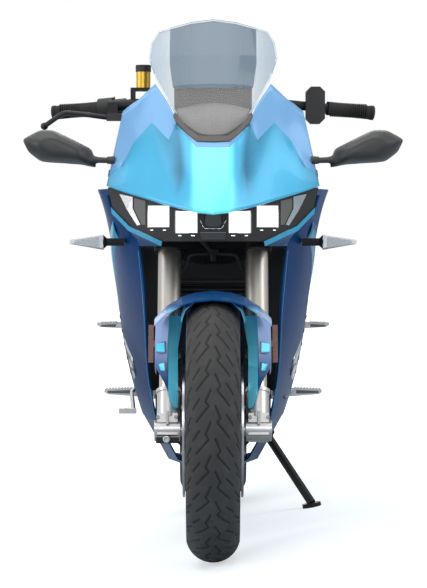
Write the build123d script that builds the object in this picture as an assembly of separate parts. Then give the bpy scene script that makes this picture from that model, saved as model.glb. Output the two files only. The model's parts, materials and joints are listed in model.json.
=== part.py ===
from build123d import *
import math
import os

# Electric sport bike, full fairing, leaning on its side stand. Millimetres.
# Bike frame, upright: +X is the rider's left, +Y runs to the tail, +Z is up,
# and the origin is on the ground half way between the axles. The finished
# pieces are leaned onto the side stand, as the bike parks, by parked().

# ---------------------------------------------------------------- chassis
WHEELBASE = 1400.0
FRONT_AXLE_Y = -WHEELBASE / 2
REAR_AXLE_Y = WHEELBASE / 2
RAKE = 24.0              # steering axis, degrees from the vertical
TRAIL = 98.0             # ground point of the steering axis ahead of the contact
LEAN = 11.0              # on the side stand, degrees towards the rider's left
TOUCH = 0.3              # a seated piece lies this far off what carries it

# ---------------------------------------------------------------- wheels
RIM_SEAT_R = 216.0       # 17 inch bead seat
FRONT_TYRE_R = 300.0
FRONT_TYRE_W = 120.0
FRONT_CROWN_R = 62.0
REAR_TYRE_R = 315.0
REAR_TYRE_W = 180.0
REAR_CROWN_R = 95.0
CROWN_FACETS = 7         # flat bands across the tread
TREAD_FLATS = 72         # flats round each tyre, one of them on the ground
RIM_WALL = 9.0
RIM_WELL_R = RIM_SEAT_R - 26
RIM_LIP_H = 5.0
RIM_LIP_T = 5.0
FRONT_RIM_W = 92.0
REAR_RIM_W = 142.0
SPOKES = 5
FRONT_HUB_R = 34.0
REAR_HUB_R = 46.0
FRONT_HUB_HALF = 52.0
REAR_HUB_HALF = 62.0
FRONT_DISC_R = 152.0
FRONT_DISC_X = 66.0      # middle of each front disc, from the centre plane
REAR_DISC_R = 112.0
REAR_DISC_X = -104.0
DISC_T = 5.0
DISC_ROOM = 5.2          # each side of a disc in its caliper
FRONT_AXLE_R = 12.5
FRONT_AXLE_BORE = 9.0
REAR_AXLE_R = 14.0
REAR_AXLE_BORE = 9.0
AXLE_RUNNING = 0.05      # radial running clearance of hub on axle

# ---------------------------------------------------------------- fork
FORK_X = 101.0           # each leg, from the centre plane
OUTER_TUBE_R = 26.5
INNER_TUBE_R = 21.5
YOKE_T = 34.0
HEAD_TUBE_R = 36.0
STEM_R = 14.0
STEM_BORE_R = 9.0
LOWER_YOKE_W = 752.0     # underside of the lower yoke, along the steering axis
UPPER_YOKE_W = 990.0
UPPER_YOKE_T = 24.0
OUTER_TUBE_BOTTOM_W = 500.0
OUTER_TUBE_TOP_W = 1030.0
INNER_TUBE_UP = 62.0     # foot of the inner tube, above the axle
CALIPER_V_NEAR = 54.0    # near face of each front caliper, behind the axle
CALIPER_T = 40.0
CALIPER_L = 116.0
BAR_R = 11.0
FENDER_GAP = 12.0        # over the front tyre
FENDER_WALL = 3.5
REFLECTOR_W = 536.0      # middle of each fork reflector, along the steering axis

# ---------------------------------------------------------------- final drive
CHAIN_X = 109.0
CHAIN_PITCH = 15.875
REAR_SPROCKET_TEETH = 39
FRONT_SPROCKET_TEETH = 16
SPROCKET_T = 6.0
TOOTH_TIP = 3.5          # tooth crest past the pitch circle
LINK_H = 6.2             # half height of a link plate at its pin
LINK_WAIST = 5.0
ROOF_H = 4.2             # inside of the loop's roof, clear of the teeth
CHAIN_W = 16.0
MOTOR_SHAFT_R = 10.0
DRIVE_Y = 120.0          # motor output shaft
DRIVE_Z = 398.0
PIVOT_Y = 200.0          # swingarm pivot
PIVOT_Z = 400.0
ARM_X = 140.0            # middle of each swingarm beam
ARM_W = 26.0
BOBBIN = (REAR_AXLE_Y - 60, REAR_TYRE_R + 5)   # y and z of each paddock stand boss
BOBBIN_R = 4.0           # M8 thread
PIVOT_PLATE_X = 134.0    # middle of each frame plate at the pivot
PIVOT_BOLT_R = 10.0
RAIL_R = 11.0            # seat rails
SHOCK_FOOT = (262.0, 440.0)   # y and z of the lower eye
SHOCK_TOP = (168.0, 628.0)
SHOCK_HALF = 20.0
SEAT_BASE_Z = 752.0
STAY_Y = -180.0          # fairing stays on the frame
STAY_ROOM = 2.6          # end of a stay to the fairing's slanting inner face
MOTOR_R = 74.0
STAND_PIN_R = 7.0

# ---------------------------------------------------------------- panels
WALL = 4.0               # moulded panels
SCREEN_T = 3.0
NOSE_STAY_Y = -606.0     # cross tube behind the nose
NOSE_STAY_Z = 884.0

SIN_R = math.sin(math.radians(RAKE))
COS_R = math.cos(math.radians(RAKE))
STEER_GROUND_Y = FRONT_AXLE_Y - TRAIL
AXLE_W = TRAIL * SIN_R + FRONT_TYRE_R * COS_R
AXLE_V = TRAIL * COS_R - FRONT_TYRE_R * SIN_R

# Local axes of the fork: x to the left, y back and down, z up the steering axis.
FORK_FRAME = Plane(
    origin=(0, STEER_GROUND_Y, 0), x_dir=(1, 0, 0), z_dir=(0, SIN_R, COS_R)
)

NODES = {}


def keep(name, *shapes):
    """Stores a node, as one solid or as several that lie apart."""
    made = [s for shape in shapes for s in shape.solids()]
    NODES[name] = made[0] if len(made) == 1 else Compound(made)


def fused(*shapes):
    """One shape from overlapping ones."""
    whole = shapes[0]
    for shape in shapes[1:]:
        whole = whole + shape
    return whole


def longest(shape):
    """The largest solid of a shape that a cut has left in pieces."""
    return max(shape.solids(), key=lambda solid: solid.volume)


def on_fork(shape):
    """Moves a shape from the fork's local axes into the bike frame."""
    return FORK_FRAME.location * shape


def fork_point(x, v, w):
    """A point of the fork's local axes, in the bike frame."""
    return (x, STEER_GROUND_Y + w * SIN_R + v * COS_R, w * COS_R - v * SIN_R)


def rod(start, end, radius, bore=0.0):
    """A round bar or, with a bore, a tube between two points."""
    a, b = Vector(*start), Vector(*end)
    plane = Plane(origin=a, z_dir=b - a)
    ring = Circle(radius)
    if bore:
        ring = ring - Circle(bore)
    return extrude(plane * ring, amount=(b - a).length)


def bent_rod(points, bend, radius):
    """A round bar along straight runs joined by arcs."""
    path = FilletPolyline(*points, radius=bend)
    plane = Plane(origin=points[0], z_dir=Vector(*points[1]) - Vector(*points[0]))
    return sweep(plane * Circle(radius), path=path)


def side_plate(points, x_from, x_to):
    """A plate cut to a side outline of (y, z) points, from x_from to x_to."""
    outline = Polyline(*[(x_from, y, z) for y, z in points], close=True)
    return extrude(make_face(outline), amount=x_to - x_from, dir=(1, 0, 0))


def front_prism(points, y_from, y_to):
    """A prism with a front outline of (x, z) points, from y_from to y_to."""
    outline = Polyline(*[(x, y_from, z) for x, z in points], close=True)
    return extrude(make_face(outline), amount=y_to - y_from, dir=(0, 1, 0))


def mirrored(shape):
    return mirror(shape, about=Plane.YZ)


def both_sides(points):
    """A front outline closed across the centre plane from its right half."""
    return points + [(-x, z) for x, z in reversed(points) if x > 0]


def tilted_box(x_range, y_range, z_range):
    """An axis-aligned block from its ranges."""
    size = [hi - lo for lo, hi in (x_range, y_range, z_range)]
    middle = [(lo + hi) / 2 for lo, hi in (x_range, y_range, z_range)]
    return Pos(*middle) * Box(*size)


# ------------------------------------------------------------ sheet sections
def inner_points(points, wall):
    """Each plan point moved inwards by the wall, square to the outline."""
    moved = []
    for i, (x, y) in enumerate(points):
        ax, ay = points[max(i - 1, 0)]
        bx, by = points[min(i + 1, len(points) - 1)]
        length = math.hypot(bx - ax, by - ay)
        moved.append((x - (by - ay) / length * wall, y + (bx - ax) / length * wall))
    return moved


def chain_edges(points, kinds, to_space):
    """Lines (L) and three-point arcs (A) through points, in order."""
    edges, at = [], 0
    for kind in kinds:
        if kind == "L":
            edges.append(Line(to_space(points[at]), to_space(points[at + 1])))
            at += 1
        else:
            edges.append(
                ThreePointArc(*[to_space(points[at + k]) for k in range(3)])
            )
            at += 2
    return edges


def sheet_section(points, kinds, wall, to_space):
    """A thin closed section: the outer outline, and the same one a wall inside."""
    inner = inner_points(points, wall)
    edges = chain_edges(points, kinds, to_space)
    edges.append(Line(to_space(points[-1]), to_space(inner[-1])))
    edges += chain_edges(inner[::-1], kinds[::-1], to_space)
    edges.append(Line(to_space(inner[0]), to_space(points[0])))
    return make_face(edges)


def level(z):
    """Plan points (x, y) at one height."""
    return lambda p: (p[0], p[1], z)


def station(y):
    """Cross-section points (x, z) at one place along the bike."""
    return lambda p: (p[0], y, p[1])


# ------------------------------------------------------------ wheels
def tyre(radius, width, crown_r, rim_w, axle_y, axle_z):
    """A ring of flat-sided segments: a crown in bands, and a wall each side."""
    half = width / 2
    sweep_angle = math.asin(half / crown_r)
    crown = []
    for i in range(CROWN_FACETS + 1):
        a = sweep_angle * (1 - 2 * i / CROWN_FACETS)
        crown.append((crown_r * math.sin(a), radius - crown_r * (1 - math.cos(a))))
    bead = rim_w / 2 - RIM_LIP_T - TOUCH
    foot = [(bead, RIM_SEAT_R + RIM_LIP_H + 3), (bead, RIM_SEAT_R + TOUCH)]
    section = foot[::-1] + crown + [(-x, r) for x, r in foot]
    step = 2 * math.pi / TREAD_FLATS
    spread = 1 / math.cos(step / 2)      # corner radius of a flat at radius 1

    def corner(x, r, i):
        turn = (i + 0.5) * step
        return (x, axle_y + r * spread * math.sin(turn), axle_z - r * spread * math.cos(turn))

    faces = []
    for i in range(TREAD_FLATS):
        for (xa, ra), (xb, rb) in zip(section, section[1:] + section[:1]):
            quad = Polyline(corner(xa, ra, i), corner(xb, rb, i), corner(xb, rb, i + 1),
                            corner(xa, ra, i + 1), close=True)
            faces.append(make_face(quad))
    return Solid(Shell(faces))


def rim(width, hub_r, hub_half, bore, spoke_w, axle_y, axle_z):
    """A cast rim: barrel with lips, hub, and forked spokes."""
    half = width / 2
    lip = RIM_SEAT_R + RIM_LIP_H
    barrel = [
        (-half, lip), (-half, RIM_SEAT_R - 4), (-half + 16, RIM_SEAT_R - 4 - RIM_WALL),
        (-half * 0.45, RIM_WELL_R), (half * 0.45, RIM_WELL_R), (half - 16, RIM_SEAT_R - 4 - RIM_WALL),
        (half, RIM_SEAT_R - 4), (half, lip), (half - RIM_LIP_T, lip),
        (half - RIM_LIP_T, RIM_SEAT_R), (-half + RIM_LIP_T, RIM_SEAT_R),
        (-half + RIM_LIP_T, lip),
    ]
    ring = revolve(
        make_face(Polyline(*[(x, 0, r) for x, r in barrel], close=True)), axis=Axis.X
    )
    hub = Rot(0, 90, 0) * Cylinder(hub_r, 2 * hub_half)
    spoke_reach = RIM_SEAT_R - 20
    for i in range(SPOKES):
        turn = Rot(360 / SPOKES * i, 0, 0)
        for side in (-1, 1):
            foot = [
                (side * 4, hub_r - 6), (side * 26, hub_r - 10),
                (side * 66, spoke_reach - 4), (side * 44, spoke_reach + 1),
            ]
            outline = Polyline(*[(-spoke_w / 2, y, z) for y, z in foot], close=True)
            arm = extrude(make_face(outline), amount=spoke_w, dir=(1, 0, 0))
            hub = hub + turn * arm
    whole = ring + hub
    whole = whole - Rot(0, 90, 0) * Cylinder(bore, 4 * hub_half)
    return Pos(0, axle_y, axle_z) * whole


def disc(radius, x, hub_r, arms, inward, axle_y, axle_z):
    """A brake disc with its carrier, which reaches inwards to the hub's face."""
    band = radius * 0.24
    ring = Cylinder(radius, DISC_T) - Cylinder(radius - band, DISC_T)
    carrier = Cylinder(hub_r + 14, DISC_T) - Cylinder(hub_r, DISC_T)
    for i in range(arms):
        spoke = Pos((radius - band + hub_r) / 2 + 6, 0, 0) * Box(
            radius - band - hub_r + 6, 14, DISC_T
        )
        carrier = carrier + Rot(0, 0, 360 / arms * i) * spoke
    spacer_h = abs(x) - inward - DISC_T / 2
    spacer = Cylinder(hub_r + 8, spacer_h) - Cylinder(hub_r, spacer_h)
    flip = 1 if x > 0 else -1
    spacer = Pos(0, 0, -flip * (spacer_h / 2 + DISC_T / 2)) * spacer
    whole = fused(ring, carrier, spacer)
    return Pos(x, axle_y, axle_z) * (Rot(0, 90, 0) * whole)


def wheels():
    keep("front_tyre", tyre(FRONT_TYRE_R, FRONT_TYRE_W, FRONT_CROWN_R,
                            FRONT_RIM_W, FRONT_AXLE_Y, FRONT_TYRE_R))
    keep("rear_tyre", tyre(REAR_TYRE_R, REAR_TYRE_W, REAR_CROWN_R,
                           REAR_RIM_W, REAR_AXLE_Y, REAR_TYRE_R))
    keep("front_rim", rim(FRONT_RIM_W, FRONT_HUB_R, FRONT_HUB_HALF,
                          FRONT_AXLE_R + AXLE_RUNNING, 26, FRONT_AXLE_Y, FRONT_TYRE_R))
    keep("rear_rim", rim(REAR_RIM_W, REAR_HUB_R, REAR_HUB_HALF,
                         REAR_AXLE_R + AXLE_RUNNING, 34, REAR_AXLE_Y, REAR_TYRE_R))
    keep("front_discs", *[
        disc(FRONT_DISC_R, side * FRONT_DISC_X, 24, 10, FRONT_HUB_HALF,
             FRONT_AXLE_Y, FRONT_TYRE_R)
        for side in (-1, 1)
    ])
    keep("rear_disc", disc(REAR_DISC_R, REAR_DISC_X, 30, 6, REAR_HUB_HALF,
                           REAR_AXLE_Y, REAR_TYRE_R))


# ------------------------------------------------------------ chain and sprockets
def pitch_radius(teeth):
    return CHAIN_PITCH / (2 * math.sin(math.pi / teeth))


def sprocket(teeth, thickness, bore):
    """A toothed wheel cut from plate: one crest and one gullet for each tooth."""
    radius = pitch_radius(teeth)
    step = 2 * math.pi / teeth
    outline = []
    for i in range(teeth):
        # share of one tooth's turn, and radius there
        for share, r in ((-0.36, radius - 4), (-0.12, radius + TOOTH_TIP),
                         (0.12, radius + TOOTH_TIP), (0.36, radius - 4)):
            turn = (i + share) * step
            outline.append((r * math.cos(turn), r * math.sin(turn)))
    wheel = make_face(Polyline(*outline, close=True)) - Circle(bore)
    return extrude(wheel, amount=thickness / 2, both=True)


def chain_path():
    """Pin places (y, z) round both sprockets, evenly spaced near the pitch."""
    big, small = pitch_radius(REAR_SPROCKET_TEETH), pitch_radius(FRONT_SPROCKET_TEETH)
    dy, dz = REAR_AXLE_Y - DRIVE_Y, REAR_TYRE_R - DRIVE_Z
    span = math.hypot(dy, dz)
    slope = math.atan2(dz, dy)
    tilt = math.asin((big - small) / span)
    run = math.sqrt(span ** 2 - (big - small) ** 2)
    wrap_big, wrap_small = math.pi + 2 * tilt, math.pi - 2 * tilt
    length = 2 * run + big * wrap_big + small * wrap_small
    links = 2 * round(length / CHAIN_PITCH / 2)
    start_up = slope + math.pi / 2 + tilt

    def along(s):
        if s < run:
            a = start_up
            y = DRIVE_Y + small * math.cos(a) + s * math.cos(slope + tilt)
            return y, DRIVE_Z + small * math.sin(a) + s * math.sin(slope + tilt)
        s -= run
        if s < big * wrap_big:
            a = start_up - s / big
            return REAR_AXLE_Y + big * math.cos(a), REAR_TYRE_R + big * math.sin(a)
        s -= big * wrap_big
        if s < run:
            a = slope - math.pi / 2 - tilt
            y = REAR_AXLE_Y + big * math.cos(a) - s * math.cos(slope - tilt)
            return y, REAR_TYRE_R + big * math.sin(a) - s * math.sin(slope - tilt)
        s -= run
        a = slope - math.pi / 2 - tilt - s / small
        return DRIVE_Y + small * math.cos(a), DRIVE_Z + small * math.sin(a)

    return [along(length * i / links) for i in range(links)]


def chain():
    """A closed loop of links: waisted plates each side, joined over the teeth."""
    pins = chain_path()
    rows = {"outer": [], "inner": [], "roof": []}
    for i, (y, z) in enumerate(pins):
        ay, az = pins[i - 1]
        by, bz = pins[(i + 1) % len(pins)]
        length = math.hypot(by - ay, bz - az)
        ny, nz = -(bz - az) / length, (by - ay) / length
        my, mz = (y + by) / 2, (z + bz) / 2
        for row, reach in (("outer", LINK_H), ("inner", -LINK_H), ("roof", ROOF_H)):
            rows[row].append((y + ny * reach, z + nz * reach))
        rows["outer"].append((my + ny * LINK_WAIST, mz + nz * LINK_WAIST))
    half = CHAIN_W / 2
    loop = side_plate(rows["outer"], CHAIN_X - half, CHAIN_X + half)
    loop = loop - side_plate(rows["inner"], CHAIN_X - half - 1, CHAIN_X + half + 1)
    groove = SPROCKET_T / 2 + 0.6
    return loop - side_plate(rows["roof"], CHAIN_X - groove, CHAIN_X + groove)


def final_drive():
    keep("drive_chain", chain())
    rear = sprocket(REAR_SPROCKET_TEETH, SPROCKET_T, 30)
    carrier_x = CHAIN_X - REAR_HUB_HALF - 3
    carrier = Cylinder(62, carrier_x) - Cylinder(30, carrier_x)
    rear = rear + Pos(0, 0, -(3 + carrier_x / 2)) * carrier
    for i in range(5):
        rear = rear - Rot(0, 0, 72 * i) * Pos(78, 0, 0) * Cylinder(9, 20)
    keep("rear_sprocket", Pos(CHAIN_X, REAR_AXLE_Y, REAR_TYRE_R) * (Rot(0, 90, 0) * rear))
    front = sprocket(FRONT_SPROCKET_TEETH, SPROCKET_T, MOTOR_SHAFT_R)
    keep("front_sprocket", Pos(CHAIN_X, DRIVE_Y, DRIVE_Z) * (Rot(0, 90, 0) * front))


# ------------------------------------------------------------ fork and bars
def yoke(bottom_w, thickness):
    """A fork clamp: two round bosses and the bridge between them."""
    legs = [Pos(s * FORK_X, AXLE_V) * Circle(OUTER_TUBE_R + 9) for s in (-1, 1)]
    bridge = make_face(Polyline(
        (-FORK_X, AXLE_V - 26), (FORK_X, AXLE_V - 26), (FORK_X, AXLE_V + 26),
        (34, 34), (-34, 34), (-FORK_X, AXLE_V + 26), close=True,
    ))
    outline = fused(bridge, *legs)
    plate = extrude(outline, amount=thickness)
    for s in (-1, 1):
        plate = plate - Pos(s * FORK_X, AXLE_V, thickness / 2) * Cylinder(
            OUTER_TUBE_R, thickness
        )
    return Pos(0, 0, bottom_w) * plate


def fork():
    stem_bottom = LOWER_YOKE_W - 8
    stem = Cylinder(STEM_R, UPPER_YOKE_W + 30 - stem_bottom)
    stem = Pos(0, 0, (UPPER_YOKE_W + 30 + stem_bottom) / 2) * stem
    bore = Pos(0, 0, stem_bottom + 30) * Cylinder(STEM_BORE_R, 60)
    yokes = fused(yoke(LOWER_YOKE_W, YOKE_T), yoke(UPPER_YOKE_W, UPPER_YOKE_T), stem) - bore
    keep("fork_yokes", on_fork(yokes))
    outers, inners = [], []
    for s in (-1, 1):
        length = OUTER_TUBE_TOP_W - OUTER_TUBE_BOTTOM_W
        outer = Cylinder(OUTER_TUBE_R, length) - Cylinder(INNER_TUBE_R, length)
        cap = Pos(0, 0, length / 2 - 6) * Cylinder(INNER_TUBE_R, 12)
        seal = Pos(0, 0, -length / 2) * (Cylinder(OUTER_TUBE_R + 2, 12)
                                         - Cylinder(INNER_TUBE_R, 12))
        outer = fused(outer, cap, seal)
        outer = Pos(s * FORK_X, AXLE_V, OUTER_TUBE_BOTTOM_W + length / 2) * outer
        outers.append(on_fork(outer))
        inner_bottom = AXLE_W + INNER_TUBE_UP
        inner_top = OUTER_TUBE_BOTTOM_W + 60
        inner = Pos(s * FORK_X, AXLE_V, (inner_bottom + inner_top) / 2) * Cylinder(
            INNER_TUBE_R, inner_top - inner_bottom
        )
        inners.append(on_fork(inner))
    keep("fork_outers", *outers)
    keep("fork_inners", *inners)
    keep("fork_feet", *[on_fork(fork_foot(s)) for s in (-1, 1)])


def fork_foot(s):
    """The axle clamp under each leg: sleeve, block, axle boss and caliper lug."""
    sleeve = Pos(s * FORK_X, AXLE_V, AXLE_W + 60) * Cylinder(OUTER_TUBE_R, 70)
    collar = Pos(s * FORK_X, AXLE_V, AXLE_W + 92) * Cylinder(OUTER_TUBE_R + 2.5, 8)
    block = Pos(s * (FORK_X + 2), AXLE_V, AXLE_W + 6) * Box(46, 50, 52)
    boss = Pos(s * 104, AXLE_V, AXLE_W) * (Rot(0, 90, 0) * Cylinder(25, 58))
    reach = CALIPER_V_NEAR - 12 - TOUCH
    lug = Pos(s * (FORK_X - 15), AXLE_V + 12 + reach / 2, AXLE_W + 82) * Box(
        18, reach, 56
    )
    whole = fused(sleeve, collar, block, boss, lug)
    socket = Pos(s * FORK_X, AXLE_V, AXLE_W + INNER_TUBE_UP + 60) * Cylinder(
        INNER_TUBE_R, 120
    )
    return whole - socket - Pos(s * 104, AXLE_V, AXLE_W) * (
        Rot(0, 90, 0) * Cylinder(FRONT_AXLE_R, 80)
    )


def front_brakes():
    """A block round each front disc, behind the fork leg."""
    made = []
    for s in (-1, 1):
        body = Box(52, CALIPER_T, CALIPER_L)
        body = chamfer(body.edges().filter_by(Axis.X), 9)
        body = Pos(0, CALIPER_V_NEAR + CALIPER_T / 2, 84) * body
        slot = Rot(0, 90, 0) * Cylinder(FRONT_DISC_R + 5.2, DISC_T + 2 * DISC_ROOM)
        at = Pos(s * FRONT_DISC_X, AXLE_V, AXLE_W)
        made.append(on_fork(at * (body - slot)))
    return made


# Levels of each fender arm up the fork: height above the axle, then x and v of
# the outer edge, the side, the front crease and the inner edge.
FENDER_ARM = [
    (44, 133, -6, 133, -50, 104, -77, 80, -58),
    (190, 133, -6, 133, -50, 104, -77, 80, -58),
    (262, 133, -10, 131.5, -50, 100, -76, 68, -72),
]
FENDER_ARM_CUT = [
    (70, 40), (88, 40), (112, 104), (140, 168), (140, 270), (40, 270), (40, 190),
    (70, 190),
]
FENDER_TURN = (-19, 62)  # ends of the arch, degrees behind the wheel's top
SHOULDER_TURN = 15       # how far back the shoulders reach, ahead of the legs


def fender_arch():
    """Arch over the tyre between the legs, with shoulders in front of them."""
    near = FRONT_TYRE_R + FENDER_GAP
    hug = [(0, near), (40, near - 4), (62, near - 24), (72, near - 54)]
    shoulder = [(0, near), (40, near - 4), (70, near - 13), (104, near - 34),
                (131.5, near - 62)]
    start, end = FENDER_TURN
    made = []
    for row, back in ((hug, end), (shoulder, SHOULDER_TURN)):
        half = [(x, r) for x, r in row]
        inner = [(-x, r) for x, r in reversed(half[1:])] + half
        skin = [(x * 1.0, r + FENDER_WALL) for x, r in reversed(inner)]
        face = make_face(Polyline(*[(x, 0, r) for x, r in inner + skin], close=True))
        face = Rot(-start, 0, 0) * face
        made.append(revolve(face, axis=Axis.X, revolution_arc=-(back - start)))
    return Pos(0, FRONT_AXLE_Y, FRONT_TYRE_R) * fused(*made)


def fender_arm():
    """The left chevron-shaped arm in front of a fork leg, in the fork's axes."""
    faces = []
    for w, *plan in FENDER_ARM:
        points = list(zip(plan[0::2], plan[1::2]))
        faces.append(sheet_section(points, "LLL", -FENDER_WALL, level(AXLE_W + w)))
    arm = loft(faces, ruled=True)
    outline = [(x, AXLE_V - 100, AXLE_W + w) for x, w in FENDER_ARM_CUT]
    keep_in = extrude(make_face(Polyline(*outline, close=True)), amount=160,
                      dir=(0, 1, 0))
    return arm & keep_in


def front_fender():
    arm = fender_arm()
    whole = fused(fender_arch(), on_fork(arm), on_fork(mirrored(arm)))
    return whole


BAR_RISE = 109.0         # middle of the bar, over the upper yoke's underside
BAR_BACK = 10.0          # and behind the steering axis
BAR_AT = Vector(*fork_point(0, BAR_BACK, UPPER_YOKE_W + BAR_RISE))
BAR_BEND = BAR_AT + Vector(150, 4, 56)
BAR_END = BAR_AT + Vector(377, 65, 36)
BAR_OUT = (BAR_END - BAR_BEND).normalized()         # along the left grip


def handlebar():
    """A one-piece bar in two clamps over the upper yoke."""
    low = (92, BAR_AT.Y, BAR_AT.Z)
    left = [low, tuple(BAR_BEND), tuple(BAR_END)]
    points = [(-x, y, z) for x, y, z in reversed(left)] + left
    bar = bent_rod(points, 34, BAR_R)
    made = [bar]
    for s in (-1, 1):
        made.append(rod(fork_point(s * 44, BAR_BACK, UPPER_YOKE_W + UPPER_YOKE_T + TOUCH),
                        fork_point(s * 44, BAR_BACK, UPPER_YOKE_W + BAR_RISE), 14))
        made.append(Pos(s * 44, BAR_AT.Y, BAR_AT.Z) * (Rot(0, 90, 0) * Cylinder(19, 30)))
    return fused(*made)


CUP_RISE = 42.0          # foot of the brake fluid cup, over the bar


def grip_point(s, reach, off=0.0):
    """A point on the grip run of the bar, at a distance in from its end."""
    at = BAR_END - BAR_OUT * reach
    return (s * at.X, at.Y, at.Z + off)


def controls():
    bar_hole = BAR_R + TOUCH
    grips = []
    for s in (-1, 1):
        grips.append(rod(grip_point(s, 0.5), grip_point(s, 108), 16.5, bar_hole))
        grips.append(rod(grip_point(s, -8), grip_point(s, -TOUCH), 17.5))
    keep("grips", *grips)
    # Left: a tall switch box. Right: throttle housing.
    x, y, z = grip_point(1, 138)
    box = Pos(x, y, z + 4) * Box(46, 50, 88)
    box = chamfer(box.edges().filter_by(Axis.Y), 12)
    keep("switch_box_left", box - rod(grip_point(1, 60), grip_point(1, 200), bar_hole))
    housing = rod(grip_point(-1, 109), grip_point(-1, 146), 23)
    keep("throttle_housing", housing - rod(grip_point(-1, 60), grip_point(-1, 200),
                                           bar_hole))
    clamp = rod(grip_point(-1, 150), grip_point(-1, 176), 18)
    x, y, z = grip_point(-1, 163)
    pump = rod((x - 26, y - 32, z - 2), (x + 44, y - 42, z + 2), 14)
    neck = tilted_box((x - 12, x + 12), (y - 40, y - 10), (z - 12, z + 12))
    arm = tilted_box((x + 24, x + 36), (y - 46, y - 28), (z, z + CUP_RISE))
    cup_at = (x + 54, y - 22)
    shelf = tilted_box((x + 24, x + 70), (y - 44, y - 12), (z + CUP_RISE - 8, z + CUP_RISE))
    perch = tilted_box((x - 30, x - 6), (y - 56, y - 34), (z - 20, z + 6))
    whole = fused(clamp, pump, neck, arm, shelf, perch)
    hole = rod(grip_point(-1, 100), grip_point(-1, 220), bar_hole)
    keep("brake_pump", whole - hole)
    cup = Pos(cup_at[0], cup_at[1], z + CUP_RISE + TOUCH + 19) * Cylinder(17, 38)
    lid = Pos(cup_at[0], cup_at[1], z + CUP_RISE + 2 * TOUCH + 38 + 8) * Cylinder(18.5, 16)
    keep("brake_reservoir", cup)
    keep("reservoir_lid", lid)
    tip = (-BAR_END.X - 25, y - 24, z - 49)
    lever = bent_rod([(x - 14, y - 62, z - 32), (x - 76, y - 72, z - 24),
                      (x - 134, y - 60, z - 18), tip], 40, 6)
    blade = tilted_box((x - 32, x + 4), (y - 72, y - 48), (z - 38, z - 20 - TOUCH))
    knob = Pos(*tip) * Sphere(9)
    keep("brake_lever", fused(lever, blade, knob))


# ------------------------------------------------------------ frame
def beam(stations):
    """A straight-sided beam through rectangles (x, y, z, width, height)."""
    faces = []
    for x, y, z, width, height in stations:
        corners = [
            (x - width / 2, y, z - height / 2), (x + width / 2, y, z - height / 2),
            (x + width / 2, y, z + height / 2), (x - width / 2, y, z + height / 2),
        ]
        faces.append(make_face(Polyline(*corners, close=True)))
    return loft(faces, ruled=True)


def hull(stations):
    """A body through six-sided sections: y, then half width and height thrice."""
    faces = []
    for y, wt, zt, wm, zm, wb, zb in stations:
        half = [(wb, y, zb), (wm, y, zm), (wt, y, zt)]
        ring = half + [(-x, y, z) for x, y, z in reversed(half)]
        faces.append(make_face(Polyline(*ring, close=True)))
    return loft(faces, ruled=True)


def main_frame():
    head_low, head_high = LOWER_YOKE_W + YOKE_T + 1.5, UPPER_YOKE_W - 1.5
    head = Pos(0, 0, (head_low + head_high) / 2) * (
        Cylinder(HEAD_TUBE_R, head_high - head_low)
        - Cylinder(STEM_R + 0.05, head_high - head_low)
    )
    # x, y, z of the middle, width and height of each spar station
    spar = [
        (22, -404, 826, 36, 96),
        (128, -250, 760, 30, 110),
        (146, -60, 640, 30, 130),
        (PIVOT_PLATE_X, 120, 470, 30, 150),
        (PIVOT_PLATE_X, PIVOT_Y, PIVOT_Z, 30, 110),
        (PIVOT_PLATE_X, PIVOT_Y + 35, PIVOT_Z - 8, 30, 96),
    ]
    left = beam(spar)
    bolt = rod((-PIVOT_PLATE_X - 21, PIVOT_Y, PIVOT_Z),
               (PIVOT_PLATE_X + 21, PIVOT_Y, PIVOT_Z), PIVOT_BOLT_R)
    gusset = beam([(0, -404, 826, 60, 96), (0, -330, 790, 90, 80)])
    lower = beam([(PIVOT_PLATE_X, PIVOT_Y + 15, PIVOT_Z - 40, 30, 60),
                  (PIVOT_PLATE_X, PIVOT_Y + 20, 292, 30, 46)])
    cross = rod((-130, PIVOT_Y + 20, 290), (130, PIVOT_Y + 20, 290), 14)
    upper = rod((-PIVOT_PLATE_X, 118, 528), (PIVOT_PLATE_X, 118, 528), 14)
    stays = []
    high = FAIRING[3]
    for s in (-1, 1):
        stays.append(rod((s * 138, STAY_Y, high[0]),
                         (s * fairing_x(high, STAY_Y), STAY_Y, high[0]), 9))
        stays.append(rod((s * 118, -200, 740), (s * 118, -200, tank_bottom(-200) - 4), 9))
    whole = fused(on_fork(head), left, mirrored(left), bolt, gusset, lower,
                  mirrored(lower), cross, upper, *stays)
    stem = Pos(0, 0, 900) * Cylinder(STEM_R + 0.05, 500)
    return whole - on_fork(stem)


def seat_line(table, column, y):
    """A height read along a table of stations, between its rows."""
    for row, after in zip(table, table[1:]):
        if row[0] <= y <= after[0]:
            share = (y - row[0]) / (after[0] - row[0])
            return row[column] + share * (after[column] - row[column])
    raise ValueError("station off the table")


def tank_bottom(y):
    return seat_line(TANK, 6, y)


def fairing_x(row, y):
    """Where a stay ends, just inside the fairing at one of its levels."""
    return plan_x(row, y) - WALL - STAY_ROOM


def plan_x(row, y):
    """Half width of a fairing level at y, on the arc through its three points."""
    _, x1, y1, x2, y2, x3, y3 = row
    d = 2 * (x1 * (y2 - y3) + x2 * (y3 - y1) + x3 * (y1 - y2))
    s1, s2, s3 = x1 * x1 + y1 * y1, x2 * x2 + y2 * y2, x3 * x3 + y3 * y3
    cx = (s1 * (y2 - y3) + s2 * (y3 - y1) + s3 * (y1 - y2)) / d
    cy = (s1 * (x3 - x2) + s2 * (x1 - x3) + s3 * (x2 - x1)) / d
    return cx + math.sqrt((x1 - cx) ** 2 + (y1 - cy) ** 2 - (y - cy) ** 2)


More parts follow.
